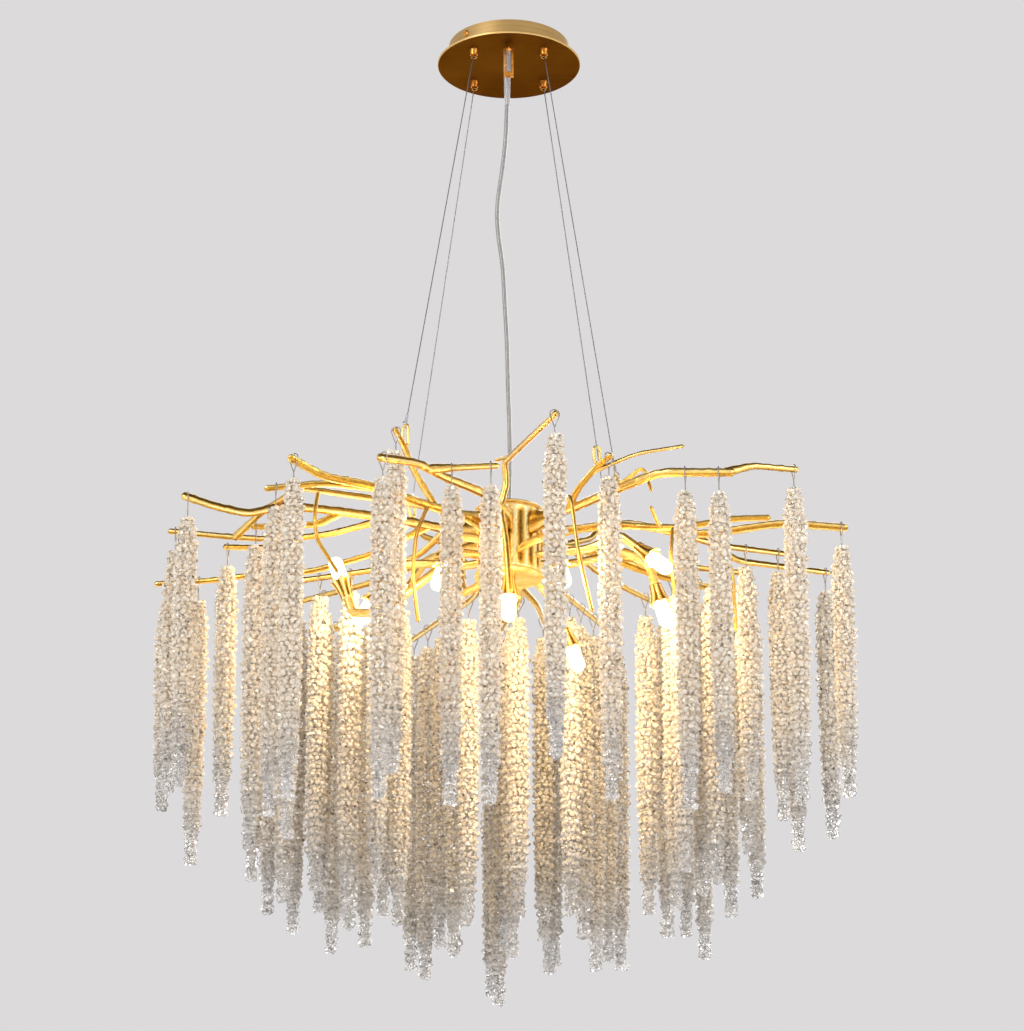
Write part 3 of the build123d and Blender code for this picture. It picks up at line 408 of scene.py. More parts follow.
# Each limb: its name, the limb it forks from, its place on it as a share of its length, its
# radius and its places from the hub's centre, in millimetres
BOUGHS = {
    "west": (
        ("reach", "", 0, 5.5, ((-130, -24, 22), (-195, -44, 24), (-252, -50, 28), (-290, -54, 16),
                               (-328, -54, 25), (-366, -56, 38))),
        ("inner", "reach", 0.46, 4.0, ((-215, -26, 14), (-290, -24, 12))),
        ("middle", "reach", 0.3, 4.0, ((-200, -8, 10), (-258, 2, 6), (-321, 6, 12),
                                       (-386, 10, 20))),
        ("cross", "middle", 0.7, 4.0, ((-276, -28, 30), (-231, -96, 31))),
        ("short", "middle", 0.42, 4.0, ((-275, 34, 8), (-326, 44, 13))),
        ("low", "reach", 0.16, 4.0, ((-150, 34, 2), (-228, 80, -4), (-300, 102, 0),
                                     (-342, 86, -12), (-404, 62, -25))),
        ("back", "reach", 0.1, 4.0, ((-100, 60, 12), (-132, 96, 8), (-299, 176, 12))),
    ),
    "southwest": (
        ("reach", "", 0, 5.5, ((-100, -84, 18), (-154, -120, 25), (-203, -165, 18),
                               (-239, -195, 29))),
        ("low", "reach", 0.55, 4.0, ((-205, -134, 22), (-268, -142, 12))),
        ("beside", "reach", 0.3, 4.0, ((-160, -80, 26), (-228, -104, 27))),
        ("sickle", "beside", 0.87, 2.4, ((-214, -106, -4), (-211, -106, -34), (-187, -102, -72))),
        ("drooper", "reach", 0.3, 2.4, ((-102, -100, -24), (-106, -104, -75), (-99, -104, -130))),
        ("riser", "reach", 0.26, 4.0, ((-106, -90, 54), (-117, -106, 78), (-126, -140, 84))),
    ),
    "south": (
        ("reach", "", 0, 5.5, ((-30, -92, 28), (-70, -130, 30), (-100, -166, 33),
                               (-142, -205, 24))),
        ("bar", "reach", 0.66, 4.0, ((-10, -158, 33),)),
        ("trunk", "reach", 0.16, 4.0, ((-3, -70, 46), (-5, -78, 68), (51, -268, 50))),
        ("stub", "trunk", 0.3, 2.4, ((-15, -70, 74),)),
        ("foot", "reach", 0.16, 4.0, ((-3, -66, -20), (1, -70, -84))),
    ),
    "southeast": (
        ("reach", "", 0, 5.5, ((84, -78, 20), (121, -102, 28), (165, -138, 33), (248, -150, 28))),
        ("tip", "reach", 0.96, 4.0, ((268, -140, 40), (320, -120, 43))),
        ("riser", "reach", 0.2, 4.0, ((78, -92, 34), (98, -104, 54), (114, -128, 58))),
        ("feeler", "riser", 0.6, 2.4, ((142, -116, 64), (193, -148, 60))),
        ("arch", "reach", 0.44, 2.4, ((149, -112, 50), (158, -112, 20))),
        ("drooper", "reach", 0.14, 2.4, ((68, -106, 22), (76, -112, -50), (91, -114, -122))),
    ),
    "east": (
        ("reach", "", 0, 5.5, ((130, -6, 24), (215, 8, 14), (308, 0, 26), (384, 6, 22))),
        ("front", "reach", 0.22, 4.0, ((150, -30, 10), (193, -32, 8), (252, -34, 18),
                                       (294, -32, 20))),
        ("feather", "front", 0.35, 2.4, ((166, -58, 4), (158, -64, 22))),
        ("drooper", "front", 0.42, 2.4, ((180, -60, -36), (184, -62, -84))),
        ("middle", "reach", 0.4, 4.0, ((240, 36, 12), (316, 58, 10))),
        ("pendant", "middle", 0.52, 2.4, ((254, 34, -24), (256, 24, -96))),
        ("low", "middle", 0.4, 4.0, ((262, 66, 4), (308, 82, 4), (370, 100, 2))),
    ),
    "northeast": (
        ("reach", "", 0, 5.5, ((104, 88, 22), (164, 126, 12), (292, 228, 16))),
        ("riser", "reach", 0.12, 4.0, ((96, 98, 44), (113, 110, 74))),
        ("right", "reach", 0.28, 4.0, ((164, 80, 8), (276, 122, 10))),
        ("left", "reach", 0.18, 4.0, ((100, 128, 16), (140, 178, 10), (232, 316, 15))),
    ),
    "north": (
        ("reach", "", 0, 5.5, ((8, 118, 20), (14, 208, 12), (-22, 388, 16))),
        ("right", "reach", 0.16, 4.0, ((38, 134, 14), (66, 200, 11), (134, 368, 15))),
        ("left", "reach", 0.16, 4.0, ((-26, 134, 14), (-40, 206, 11), (-118, 372, 15))),
        ("middle", "reach", 0.4, 4.0, ((32, 226, 9), (54, 372, 12))),
    ),
    "northwest": (
        ("reach", "", 0, 5.5, ((-94, 106, 22), (-118, 176, 12), (-212, 334, 16))),
        ("riser", "reach", 0.12, 4.0, ((-98, 98, 46), (-114, 110, 74))),
        ("left", "reach", 0.22, 4.0, ((-128, 130, 14), (-166, 158, 10), (-284, 258, 14))),
    ),
}

# The cables' hangers: the limb that carries each, its place on it as a share of the limb's
# length, and its height in millimetres
HANGERS = {
    "southwest": (("riser", 0.64, 30.0),),
    "southeast": (("riser", 0.7, 23.0), ("reach", 0.46, 14.0)),
    "northeast": (("riser", 0.97, 20.0),),
    "northwest": (("riser", 0.97, 20.0),),
}
# Which way each bough leaves the hub, in degrees
BEARINGS = {"west": 180, "southwest": 225, "south": 270, "southeast": 315,
            "east": 0, "northeast": 45, "north": 90, "northwest": 135}


def soft_line(places, step=0.0022, share=0.28):
    """Points along straight runs with rounded corners, and how far along each one is."""
    runs = [b - a for a, b in zip(places, places[1:])]
    ends = [places[0]]
    for before, corner, after in zip(runs, places[1:-1], runs[1:]):
        cut = share * min(before.length, after.length)
        enter = corner - before.normalized() * cut
        leave = corner + after.normalized() * cut
        ends.append(enter)
        for turn in np.linspace(0, 1, 9)[1:]:
            ends.append(enter.lerp(corner, turn).lerp(corner.lerp(leave, turn), turn))
    ends.append(places[-1])
    ends = np.array([list(point) for point in ends])
    far = np.concatenate(([0], np.cumsum(np.linalg.norm(np.diff(ends, axis=0), axis=1))))
    marks = np.linspace(0, far[-1], max(4, int(far[-1] / step)))
    return np.stack([np.interp(marks, far, ends[:, axis]) for axis in range(3)], axis=1), marks


def band_faces(rows, around, wrap=False):
    """Faces between rows of corners; with wrap, the last row meets the first."""
    return [(row * around + k, row * around + (k + 1) % around,
             (row + 1) % rows * around + (k + 1) % around, (row + 1) % rows * around + k)
            for row in range(rows if wrap else rows - 1) for k in range(around)]


# Grooves in the bark: how many round a limb, their depth as a share of the limb's radius, and
# how far they may twist, in radians a metre
GROOVES = ((3, 0.13, 9), (5, 0.09, 14), (8, 0.05, 25))
DEEPEST = sum(depth for _, depth, _ in GROOVES)
RIPPLE, RIPPLES = 0.03, 420  # depth as a share of the radius, and radians a metre
KNUCKLE, KNUCKLE_LENGTH, KNUCKLE_GAP = 0.10, 0.003, 0.042
FIRST_KNUCKLE, LAST_KNUCKLE = 0.018, 0.012  # least distance from the root and from the tip
KNOB, KNOB_LENGTH = 0.16, 0.004
THINNING = 0.12  # a limb's loss of radius from root to tip, as a share
FLARE_LENGTH = 0.022


def grooved_tube(line, marks, radius, seed, flare, sides=18):
    """A closed tube along a line, with bark-like grooves, knuckles and a rounded tip. Its root
    is taller by the flare, so that it spreads like a buttress where it meets what carries it."""
    chance = np.random.default_rng(seed)
    along = np.gradient(line, axis=0)
    along /= np.linalg.norm(along, axis=1)[:, None]
    side = np.cross(along[0], (0.3, 0.2, 1.0))
    sides_at = []
    for step in along:
        side = side - step * side.dot(step)
        side /= np.linalg.norm(side)
        sides_at.append(side.copy())
    sides_at = np.array(sides_at)
    ups = np.cross(along, sides_at)
    length = marks[-1]
    turn = np.linspace(0, 2 * math.pi, sides, endpoint=False)[None, :]
    far = marks[:, None]
    grooves = 0
    for grooves_round, depth, most_twist in GROOVES:
        twist, start = chance.uniform(-most_twist, most_twist), chance.uniform(0, 6)
        grooves = grooves + depth * (0.5 + 0.5 * np.cos(grooves_round * turn + twist * far + start))
    ripples = RIPPLE * np.sin(far * RIPPLES + 2 * np.sin(turn * 2 + chance.uniform(0, 6)))
    size = np.ones_like(far)
    first_knuckle = FIRST_KNUCKLE + chance.uniform(0, 0.02)
    for knuckle in np.arange(first_knuckle, length - LAST_KNUCKLE, KNUCKLE_GAP):
        size += KNUCKLE * np.exp(-((far - knuckle) / KNUCKLE_LENGTH) ** 2)
    size *= 1.04 - THINNING * far / length
    size += KNOB * np.exp(-((length - far) / KNOB_LENGTH) ** 2)
    shape = radius * size * (1.02 - grooves - ripples)
    past_end = (far - length + radius) / radius  # 0 a radius before the tip, 1 at the tip
    shape = shape * np.where(past_end > 0, np.sqrt(np.clip(1 - past_end ** 2, 0.02, 1)), 1)
    offset = shape[:, :, None] * (np.cos(turn)[:, :, None] * sides_at[:, None, :]
                                  + np.sin(turn)[:, :, None] * ups[:, None, :])
    offset[:, :, 2] *= 1 + flare * np.exp(-(far / FLARE_LENGTH) ** 2)
    corners = (line[:, None, :] + offset).reshape(-1, 3).tolist()
    faces = band_faces(len(line), sides)
    # A corner in the middle of either end closes the tube
    first, last, last_row = len(corners), len(corners) + 1, len(corners) - sides
    corners += [list(line[0] - along[0] * 0.0003), list(line[-1] + along[-1] * 0.0004)]
    faces += [(first, (k + 1) % sides, k) for k in range(sides)]
    faces += [(last, last_row + k, last_row + (k + 1) % sides) for k in range(sides)]
    # How deep each corner lies in the grooves, which the gilt darkens as painted shade
    hollow = np.clip(grooves / DEEPEST, 0, 1).reshape(-1).tolist() + [0.5, 0.5]
    return corners, faces, hollow


def solid_piece(name, chunks, material, body, replaced):
    """One mesh from chunks of (corners, faces, hollow), smooth, riding on a body."""
    corners, faces, hollow = [], [], []
    for part_corners, part_faces, part_hollow in chunks:
        start = len(corners)
        corners += part_corners
        faces += [tuple(start + k for k in face) for face in part_faces]
        hollow += part_hollow
    data = bpy.data.meshes.new(name)
    data.from_pydata(corners, [], faces)
    data.attributes.new("hollow", "FLOAT", "POINT").data.foreach_set("value", hollow)
    data.shade_smooth()
    data.materials.append(material)
    work = bmesh.new()
    work.from_mesh(data)
    bmesh.ops.recalc_face_normals(work, faces=work.faces)
    work.to_mesh(data)
    work.free()
    made = bpy.data.objects.new(name, data)
    bpy.context.scene.collection.objects.link(made)
    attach(made, body)
    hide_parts(*replaced)


HANGER_BAR, HANGER_WIDTH = 0.0036, 0.013


def hanger_loop(place, bearing, height, radius, steps=40, sides=8):
    """An upright cast eye for a cable on a limb: a rounded bar bent to a long ring."""
    turn = Matrix.Rotation(bearing, 3, "Z")
    across = turn @ Vector((1, 0, 0))
    straight, bend = height - HANGER_WIDTH, (HANGER_WIDTH - HANGER_BAR) / 2
    middle = place + Vector((0, 0, radius / 2 + height / 2))
    ring = []
    for k in range(steps):
        angle = 2 * math.pi * k / steps
        y, z = bend * math.cos(angle), bend * math.sin(angle)
        if abs(math.sin(angle)) > 1e-9:
            z += math.copysign(straight / 2, math.sin(angle))
        ring.append(middle + turn @ Vector((0, y, z)))
    corners = []
    for k, centre in enumerate(ring):
        ahead = (ring[(k + 1) % steps] - ring[k - 1]).normalized()
        outward = ahead.cross(across)
        for j in range(sides):
            spin = 2 * math.pi * j / sides
            reach = (across * math.cos(spin) + outward * math.sin(spin)) * HANGER_BAR / 2
            corners.append(list(centre + reach))
    return corners, band_faces(steps, sides, wrap=True), [0.3] * len(corners)


def place_on(line, marks, share):
    """The place at a share of a line's length."""
    return Vector([np.interp(share * marks[-1], marks, line[:, axis]) for axis in range(3)])


# Gilded cast brass with a fine grain: bright yellow gold, a pale painted highlight on the crests
# and dark brown painted shade down in the grooves, flutes and petal folds
gilt, tree, shader, place = new_material("gilded_cast_brass")
depth = add(tree, "ShaderNodeAttribute", attribute_name="hollow").outputs["Fac"]
grain = noise(tree, place, 420, 420, 420)
painted_shade_and_grain = maths(tree, "ADD", depth, maths(tree, "MULTIPLY_ADD", grain, 0.45, -0.2))
set_inputs(tree, shader, ramp(tree, painted_shade_and_grain, ((0.0, "#FFF2BE"), (0.3, "#FBDE8A"), (0.6, "#D2A03C"),
                                           (0.95, "#694510"))), Metallic=0.85, Roughness=0.24)
bump(tree, shader, grain, 0.0005, 0.6)

ROOT_FLARE, FORK_FLARE = 1.8, 0.5  # how much taller a limb is where it starts, as a share

for number, (name, limbs) in enumerate(BOUGHS.items()):
    bearing = math.radians(BEARINGS[name])
    outward = Vector((math.cos(bearing), math.sin(bearing), 0))
    root = HUB + Vector((0, 0, BOUGH_ROW)) + outward * HUB_APOTHEM
    lines, radii, chunks = {}, {}, []
    for order, (limb, parent, share, radius, places) in enumerate(limbs):
        if parent:
            start, flare = [place_on(*lines[parent], share)], FORK_FLARE
        else:
            start, flare = [root, root + outward * ROOT_RUN], ROOT_FLARE
        lines[limb] = soft_line(start + [HUB + Vector(point) / 1000 for point in places])
        radii[limb] = radius / 1000
        chunks.append(grooved_tube(*lines[limb], radii[limb], 40 * number + order, flare))
    for limb, share, height in HANGERS.get(name, ()):
        at = place_on(*lines[limb], share)
        chunks.append(hanger_loop(at, math.atan2(at.y, at.x), height / 1000, radii[limb]))
    solid_piece(f"{name}_branches", chunks, gilt, BODY, [f"{name}_bough"])


# ---------------------------------------------------------------- hub
# A cast drum with a flute down each of its sixteen sides, a turned lid and a turned floor.
# It takes the branches' roots and the lamp arms, and the wires join inside it.

HUB_HEIGHT = 0.076
FLUTES, FLUTE_DEPTH = 16, 0.05  # how many, and their depth as a share of the drum's radius
FLUTE_END = 1 / 8  # the share of the height over which a flute runs out at either end
HUB_INSET = 0.0002


def fluted_drum(steps=8, rows=24):
    """A closed drum whose sides are hollow flutes between narrow ribs."""
    corners, hollow = [], []
    around = FLUTES * steps
    rib = HUB_APOTHEM / math.cos(math.pi / FLUTES)
    for row in range(rows + 1):
        level = HUB.z - HUB_HEIGHT / 2 + HUB_HEIGHT * row / rows
        edge = min(row, rows - row) / rows
        for k in range(around):
            angle = 2 * math.pi * (k / around) + math.pi / FLUTES
            dip = math.sin(math.pi * (k % steps) / steps) ** 2 * min(1, edge / FLUTE_END)
            reach = rib * (1 - FLUTE_DEPTH * dip) - HUB_INSET
            corners.append([reach * math.cos(angle), reach * math.sin(angle), level])
            # How deep the flute is here, which the gilt darkens as painted shade
            hollow.append(0.9 * dip)
    faces = band_faces(rows + 1, around)
    faces.append(tuple(range(around))[::-1])
    faces.append(tuple(rows * around + k for k in range(around)))
    return corners, faces, hollow


solid_piece("hub_body", [fluted_drum()], gilt, BODY, ["hub_drum"])

# Turned gilt brass: lid, floor, lamp arms; fine turning rings and no grooves
turned = clouded("turned_gilt_brass", (60, 60, 700),
                 ((0.3, "#CE9D42"), (0.5, "#F0CA72"), (0.7, "#FFE8AC")), 0.0002, 0.5,
                 Metallic=0.85, Roughness=0.25)
dress(["hub_cap", "hub_base", "lamp_arms"], turned)


# ---------------------------------------------------------------- lamps
# Pin bulbs of frosted glass in ceramic holders, in flared gilt cups on bent tubes. Each one
# is lit: its light leaves a frosted envelope, warm white.

# Each cup is a small cast flower: eight petals that flare and curl out at the mouth, open
# towards its bulb, with a thin wall
CUP_PETALS, CUP_WALL = 8, 0.0012
CUP_ROOT_RADIUS, CUP_FLARE = 0.0073, 0.0062
PETAL_FOLD, PETAL_NOTCH = 0.0021, 0.0030  # how far a fold dips in, and a notch from the mouth


def petal_cup(corners, ahead, sides=64, rows=14):
    """The closed wall of a fluted trumpet along a direction, as large as the corners' span."""
    middle = middle_of(corners)
    spans = [(corner - middle).dot(ahead) for corner in corners]
    low, length = min(spans), max(spans) - min(spans)
    across = ahead.orthogonal().normalized()
    upright = ahead.cross(across)
    made, hollow = [], []
    for wall in (0, CUP_WALL):
        for row in range(rows + 1):
            share = row / rows
            for k in range(sides):
                turn = 2 * math.pi * k / sides
                fold = 0.5 - 0.5 * math.cos(CUP_PETALS * turn)
                radius = CUP_ROOT_RADIUS + CUP_FLARE * share ** 1.8
                radius -= fold * PETAL_FOLD * share + wall
                rise = low + length * share - fold * PETAL_NOTCH * share ** 4
                rise = max(rise, low + wall)
                point = middle + ahead * rise
                point += (across * math.cos(turn) + upright * math.sin(turn)) * radius
                made.append(list(point))
                # How far the petal folds in here, which the gilt darkens as painted shade
                hollow.append(0.95 * fold)
    faces, inner = band_faces(rows + 1, sides), (rows + 1) * sides
    faces += [(inner + a, inner + d, inner + c, inner + b) for a, b, c, d in faces]
    for k in range(sides):
        a, b = rows * sides + k, rows * sides + (k + 1) % sides
        faces.append((a, b, inner + b, inner + a))
    faces.append(tuple(range(sides))[::-1])
    faces.append(tuple(inner + k for k in range(sides)))
    return made, faces, hollow


bulb_centres = [middle_of(corners) for corners in shells("bulbs")]
cups = []
for corners in shells("lamp_cups"):
    middle = middle_of(corners)
    bulb = min(bulb_centres, key=lambda centre: (centre - middle).length)
    cups.append(petal_cup(corners, (bulb - middle).normalized()))
solid_piece("petal_cups", cups, gilt, BODY, ["lamp_cups"])

# Glazed steatite: off white, dense and smooth
steatite = clouded("pressed_steatite", (400, 400, 400), ((0.3, "#E9E4D8"), (0.7, "#F6F2E8")),
                   0.0001, 0.4, Roughness=0.4)
dress(["lamp_sockets"], steatite)

# Frosted quartz envelope, lit from inside
envelope, tree, shader, place = new_material("frosted_lit_quartz")
glow = ramp(tree, noise(tree, place, 120, 120, 120), ((0.3, "#FFE3AE"), (0.7, "#FFF3D6")))
set_inputs(tree, shader, glow, Emission_Strength=5.0, Roughness=0.5)
tree.links.new(glow, shader.inputs["Emission Color"])
dress(["bulbs"], envelope)
frame["nodes"]["bulbs"].visible_shadow = False  # lets out the lights inside

BULB_POWER, BULB_RADIUS = 1.0, 0.009

for number, centre in enumerate(bulb_centres):
    light = bpy.data.lights.new("bulb_light", "POINT")
    light.energy = BULB_POWER
    light.color = colour("#FFDDA2")[:3]
    light.shadow_soft_size = BULB_RADIUS
    lamp = bpy.data.objects.new(f"bulb_light_{number + 1}", light)
    lamp.location = centre
    bpy.context.scene.collection.objects.link(lamp)


# ---------------------------------------------------------------- bead strands
# Small cut glass beads in layers round a thin steel wire, nine to a layer and five at the
# foot, every second layer further in. Each strand hangs by a bent wire hook from its branch.

# Cut lead-free crystal: pale, with the lamps' warm light painted into its colour above the
# foot and more transparent at the foot; each facet is painted at random as a reflection, most
# pale to white as painted highlights and a few dark as painted shade
crystal, tree, shader, place = new_material("cut_crystal")
facet = add(tree, "ShaderNodeAttribute", attribute_name="facet").outputs["Fac"]
foot = add(tree, "ShaderNodeAttribute", attribute_name="foot").outputs["Fac"]
# The warm ramp carries the painted lamp light; the clear one, at the foot, has none
warm = ramp(tree, facet, ((0.0, "#7F766E"), (0.05, "#CDC0B0"), (0.15, "#F3E7D6"),
                          (0.5, "#FDF3E4"), (1.0, "#FFFCF5")))
clear = ramp(tree, facet, ((0.0, "#8F8B88"), (0.06, "#CFCCC9"), (0.2, "#F4F2F0"),
                           (0.6, "#FFFFFF")))
glass_colour = add(tree, "ShaderNodeMix", {0: foot, 6: warm, 7: clear}, data_type="RGBA")
set_inputs(tree, shader, glass_colour.outputs[2], Roughness=0.05, IOR=1.54)
tree.links.new(spread(tree, foot, 0.5, 0.85), shader.inputs["Transmission Weight"])

# Bright steel wire of the hooks and through the beads
wire_steel = clouded("bright_steel_wire", (700, 700, 700), ((0.3, "#6F6A66"), (0.7, "#B5B0AB")),
                     Metallic=0.9, Roughness=0.3)

PITCH = 0.0096  # from one ridge of a strand to the next, which is two layers
LAYER_TURN = math.radians(20)
LAYER_SLIP = 0.15  # in radians, either way
SHAKE = (0.001, 0.001, 0.0007)  # how far a bead may lie from its place, either way
TILT = (-1.2, -1.2, 0.0), (1.2, 1.2, 6.28)
CHIP = (0.7, 0.7, 0.5), (1.05, 1.05, 0.85)  # least and greatest size of a cut bead
STRAY = 0.5  # how much larger the rarest beads are, as a share
THREAD_RADIUS = 0.0004
HOOK_DROP = 0.015  # from the twig's middle to where the hook's two sides meet
HOOK_STEM = 0.007  # the twisted part below
HOOK_GAP = 0.0013  # from the twig's face to the hook wire's middle
STEM_TWIST, STEM_RADIUS = 1.7, 0.0006  # radians for each ninth of the stem, and metres


def input_socket(tree, name, kind, value):
    """A named input of a geometry tree, with its first value."""
    made = tree.interface.new_socket(name, in_out="INPUT", socket_type=kind)
    if value is not None:
        made.default_value = value
    return made


def random_value(tree, low, high, seed):
    """A random number, or a random vector, between two bounds for each point."""
    vector = isinstance(low, tuple)
    first = 0 if vector else 2
    made = add(tree, "FunctionNodeRandomValue", {first: low, first + 1: high, "Seed": seed},
               data_type="FLOAT_VECTOR" if vector else "FLOAT")
    return made.outputs[0 if vector else 1]


def store(tree, geometry, name, value, domain):
    """The geometry with a named number at each point or face."""
    return add(tree, "GeometryNodeStoreNamedAttribute",
               {"Geometry": geometry, "Name": name, "Value": value},
               data_type="FLOAT", domain=domain).outputs[0]


def bead_tree():
    """Edges from top to foot in, strands of beads out."""
    tree = bpy.data.node_groups.new("bead_strand", "GeometryNodeTree")
    input_socket(tree, "Geometry", "NodeSocketGeometry", None)
    input_socket(tree, "Layer pitch", "NodeSocketFloat", PITCH / 2)
    input_socket(tree, "Ring radius", "NodeSocketFloat", 0.0108)
    input_socket(tree, "Bead radius", "NodeSocketFloat", 0.0039)
    input_socket(tree, "Foot length", "NodeSocketFloat", 0.036)
    input_socket(tree, "Seed", "NodeSocketInt", 3)
    tree.interface.new_socket("Geometry", in_out="OUTPUT", socket_type="NodeSocketGeometry")
    given = add(tree, "NodeGroupInput").outputs
    seed = given["Seed"]
    curve = add(tree, "GeometryNodeMeshToCurve", {0: given["Geometry"]}).outputs[0]
    layers = add(tree, "GeometryNodeResampleCurve",
                 {"Curve": curve, "Length": given["Layer pitch"]}, mode="LENGTH").outputs[0]
    # How far each layer is from the strand's two ends
    gone = add(tree, "GeometryNodeSplineParameter").outputs["Length"]
    whole = add(tree, "GeometryNodeSplineLength").outputs["Length"]
    left = maths(tree, "SUBTRACT", whole, gone)
    at_foot = add(tree, "FunctionNodeCompare", {0: left, 1: given["Foot length"]},
                  data_type="FLOAT", operation="LESS_THAN").outputs[0]
    above = add(tree, "FunctionNodeBooleanMath", {0: at_foot}, operation="NOT").outputs[0]
    # A strand widens over its first 30 mm, narrows over its last 160, and over its last 110 grows
    # clearer and loses the warm lamp light painted into its glass
    slim_top = spread(tree, gone, 0.55, 1.0, 0.0, 0.03)
    slim_foot = spread(tree, left, 0.68, 1.0, 0.02, 0.16)
    cleared = spread(tree, left, 1.0, 0.0, 0.02, 0.11)
    marked_layers = store(tree, layers, "foot", cleared, "POINT")
    # Every second layer sits further in, so that the strand has ridges
    order = add(tree, "GeometryNodeInputIndex").outputs[0]
    ridge = spread(tree, maths(tree, "MODULO", order, 2.0), 1.0, 0.76)
    across = maths(tree, "MULTIPLY", maths(tree, "MULTIPLY", slim_top, slim_foot), ridge)
    width = add(tree, "ShaderNodeCombineXYZ", {0: across, 1: across, 2: 1.0}).outputs[0]
    slip = random_value(tree, -LAYER_SLIP, LAYER_SLIP, seed)
    turn = maths(tree, "ADD", maths(tree, "MULTIPLY", order, LAYER_TURN), slip)
    spin = add(tree, "ShaderNodeCombineXYZ", {2: turn}).outputs[0]
    rings = add(tree, "GeometryNodeJoinGeometry")
    for chosen, beads_round, share in ((above, 9, 1.0), (at_foot, 5, 0.72)):
        reach = maths(tree, "MULTIPLY", given["Ring radius"], share)
        ring = add(tree, "GeometryNodeMeshCircle",
                   {"Vertices": beads_round, "Radius": reach}).outputs[0]
        ringed = add(tree, "GeometryNodeInstanceOnPoints",
                     {"Points": marked_layers, "Selection": chosen, "Instance": ring,
                      "Rotation": spin, "Scale": width}).outputs[0]
        tree.links.new(ringed, rings.inputs[0])
    spots = add(tree, "GeometryNodeRealizeInstances", {0: rings.outputs[0]}).outputs[0]
    shake = random_value(tree, tuple(-most for most in SHAKE), SHAKE, seed)
    moved = add(tree, "GeometryNodeSetPosition", {"Geometry": spots, "Offset": shake}).outputs[0]
    bead = add(tree, "GeometryNodeMeshUVSphere",
               {"Segments": 6, "Rings": 3, "Radius": given["Bead radius"]}).outputs[0]
    tilt = random_value(tree, *TILT, seed)
    # The beads are cut chips, some long and some flat, and a few stand out of the row
    chance = random_value(tree, 0.0, 1.0, seed)
    large = maths(tree, "MULTIPLY_ADD", maths(tree, "POWER", chance, 14.0), STRAY, 1.0)
    chip = random_value(tree, *CHIP, seed)
    size = add(tree, "ShaderNodeVectorMath",
               {0: chip, "Scale": large}, operation="SCALE").outputs[0]
    beads = add(tree, "GeometryNodeInstanceOnPoints",
                {"Points": moved, "Instance": bead, "Rotation": tilt, "Scale": size}).outputs[0]
    real = add(tree, "GeometryNodeRealizeInstances", {0: beads}).outputs[0]
    flat = add(tree, "GeometryNodeSetShadeSmooth",
               {"Geometry": real, "Shade Smooth": False}).outputs[0]
    # A random number for each facet, which the crystal turns into painted highlights and painted
    # shade
    marked = store(tree, flat, "facet", random_value(tree, 0.0, 1.0, seed), "FACE")
    glass = add(tree, "GeometryNodeSetMaterial",
                {"Geometry": marked, "Material": crystal}).outputs[0]
    # The wire through the middle
    thread = add(tree, "GeometryNodeCurvePrimitiveCircle",
                 {"Resolution": 5, "Radius": THREAD_RADIUS}).outputs[0]
    wire = add(tree, "GeometryNodeCurveToMesh",
               {"Curve": curve, "Profile Curve": thread}).outputs[0]
    steel = add(tree, "GeometryNodeSetMaterial",
                {"Geometry": wire, "Material": wire_steel}).outputs[0]
    both = add(tree, "GeometryNodeJoinGeometry")
    tree.links.new(glass, both.inputs[0])
    tree.links.new(steel, both.inputs[0])
    add(tree, "NodeGroupOutput", {0: both.outputs[0]})
    return tree


def through_tree(name, corners, edges, tree, settings):
    """The plain mesh that a geometry tree makes of corners and edges."""
    data = bpy.data.meshes.new(name)
    data.from_pydata(corners, edges, [])
    made = bpy.data.objects.new(name, data)
    bpy.context.scene.collection.objects.link(made)
    modifier = made.modifiers.new("make", "NODES")
    modifier.node_group = tree
    sockets = {item.name: item.identifier for item in tree.interface.items_tree
               if item.item_type == "SOCKET" and item.in_out == "INPUT"}
    for key, value in settings.items():
        modifier[sockets[key]] = value
    seen = made.evaluated_get(bpy.context.evaluated_depsgraph_get())
    result = bpy.data.meshes.new_from_object(seen)
    result.name = name
    made.modifiers.remove(modifier)
    made.data = result
    return made


def hook_wire(hook, axis, twig):
    """A bent wire over the twig, as a line of points: two sides and a twisted stem."""
    side, up = Vector((-axis.y, axis.x, 0)).normalized(), Vector((0, 0, 1))
    reach = twig + HOOK_GAP
    lean = math.acos(reach / HOOK_DROP)
    meet = hook - up * HOOK_DROP
    points = [meet]
    for share in np.linspace(0, 1, 15):
        angle = -math.pi / 2 + lean + (math.pi - lean) * 2 * share
        points.append(hook + (side * math.cos(angle) + up * math.sin(angle)) * reach)
    points.append(meet)
    for k in range(1, 10):
        angle = STEM_TWIST * k
        points.append(meet + Vector((STEM_RADIUS * math.cos(angle), STEM_RADIUS * math.sin(angle),
                                     -HOOK_STEM * k / 9)))
    return points


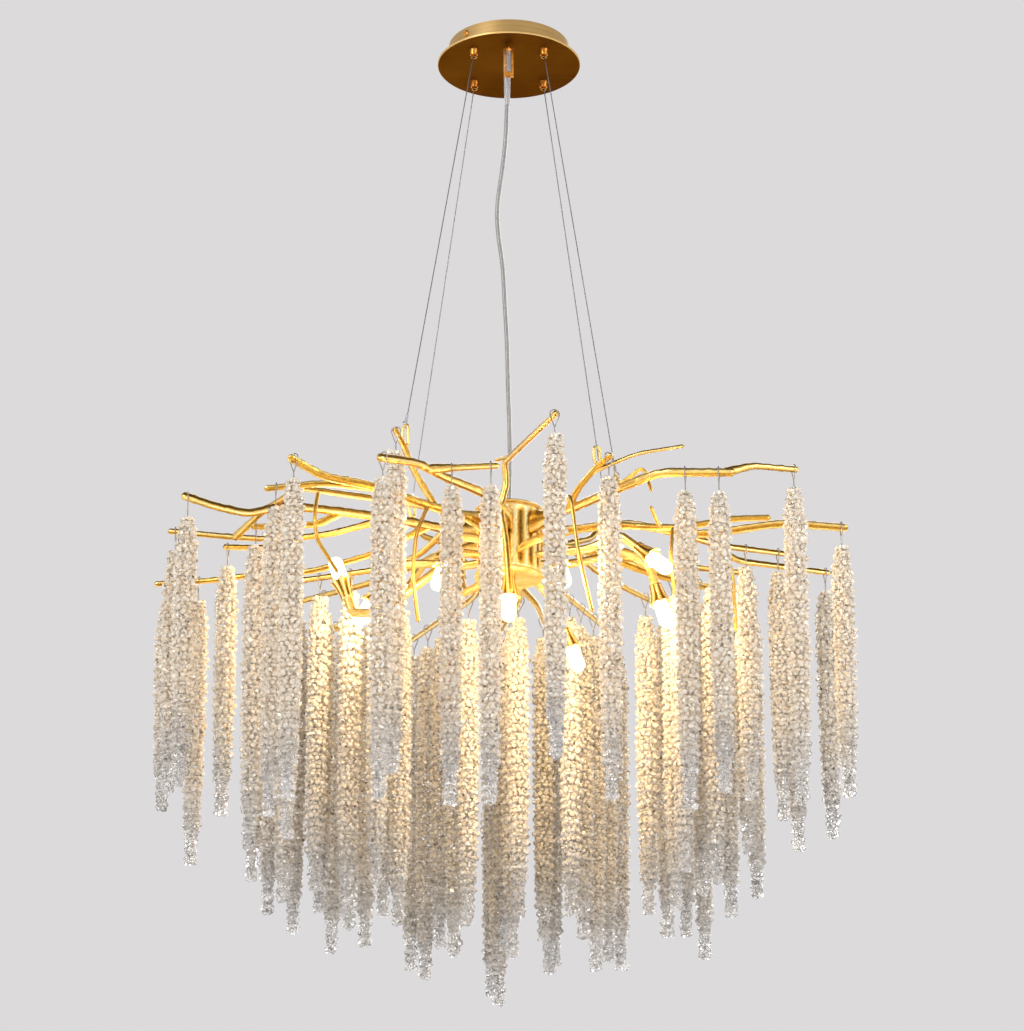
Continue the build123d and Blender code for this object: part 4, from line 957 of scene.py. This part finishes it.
def wire_tree():
    """Lines in, round wires out."""
    tree = bpy.data.node_groups.new("hook_wire", "GeometryNodeTree")
    input_socket(tree, "Geometry", "NodeSocketGeometry", None)
    input_socket(tree, "Wire radius", "NodeSocketFloat", 0.0006)
    tree.interface.new_socket("Geometry", in_out="OUTPUT", socket_type="NodeSocketGeometry")
    given = add(tree, "NodeGroupInput").outputs
    curve = add(tree, "GeometryNodeMeshToCurve", {0: given["Geometry"]}).outputs[0]
    thread = add(tree, "GeometryNodeCurvePrimitiveCircle",
                 {"Resolution": 6, "Radius": given["Wire radius"]}).outputs[0]
    wire = add(tree, "GeometryNodeCurveToMesh",
               {"Curve": curve, "Profile Curve": thread, "Fill Caps": True}).outputs[0]
    real = add(tree, "GeometryNodeRealizeInstances", {0: wire}).outputs[0]
    steel = add(tree, "GeometryNodeSetMaterial",
                {"Geometry": real, "Material": wire_steel}).outputs[0]
    add(tree, "NodeGroupOutput", {0: steel})
    return tree


FOOT_ZONE = 0.001  # the corners this near a strand's foot give its middle

beads_of = bead_tree()
wires_of = wire_tree()
twigs = {(name, limb[0]): limb[3] / 1000 for name, limbs in BOUGHS.items() for limb in limbs}

sways = [joint for joint in frame["joints"] if joint["name"].endswith("_sway")]
for number, joint in enumerate(sways):
    node = joint["child"]
    name, limb = node.removesuffix("_strands").split("_")
    pivot, axis = Vector(joint["pos_m"]), Vector(joint["axis"])
    flat = Vector((axis.x, axis.y, 0))
    ends, wires, links = [], [], []
    for corners in shells(node):
        foot_z = min(corner.z for corner in corners)
        centre = middle_of(corner for corner in corners if corner.z < foot_z + FOOT_ZONE)
        hook = pivot + axis * ((centre - pivot).dot(flat) / flat.dot(flat))
        top = hook + Vector((0, 0, -HOOK_DROP - HOOK_STEM - PITCH / 2))
        ends += [top, Vector((top.x, top.y, foot_z + PITCH / 2))]
        start = len(wires)
        wires += hook_wire(hook, flat, twigs[name, limb])
        links += [(k, k + 1) for k in range(start, len(wires) - 1)]
    spines = [(k, k + 1) for k in range(0, len(ends), 2)]
    strands = through_tree(f"{name}_{limb}_beads", ends, spines, beads_of, {"Seed": 11 + number})
    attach(strands, node)
    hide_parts(node)
    hooks = through_tree(f"{name}_{limb}_hooks", wires, links, wires_of, {})
    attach(hooks, node)
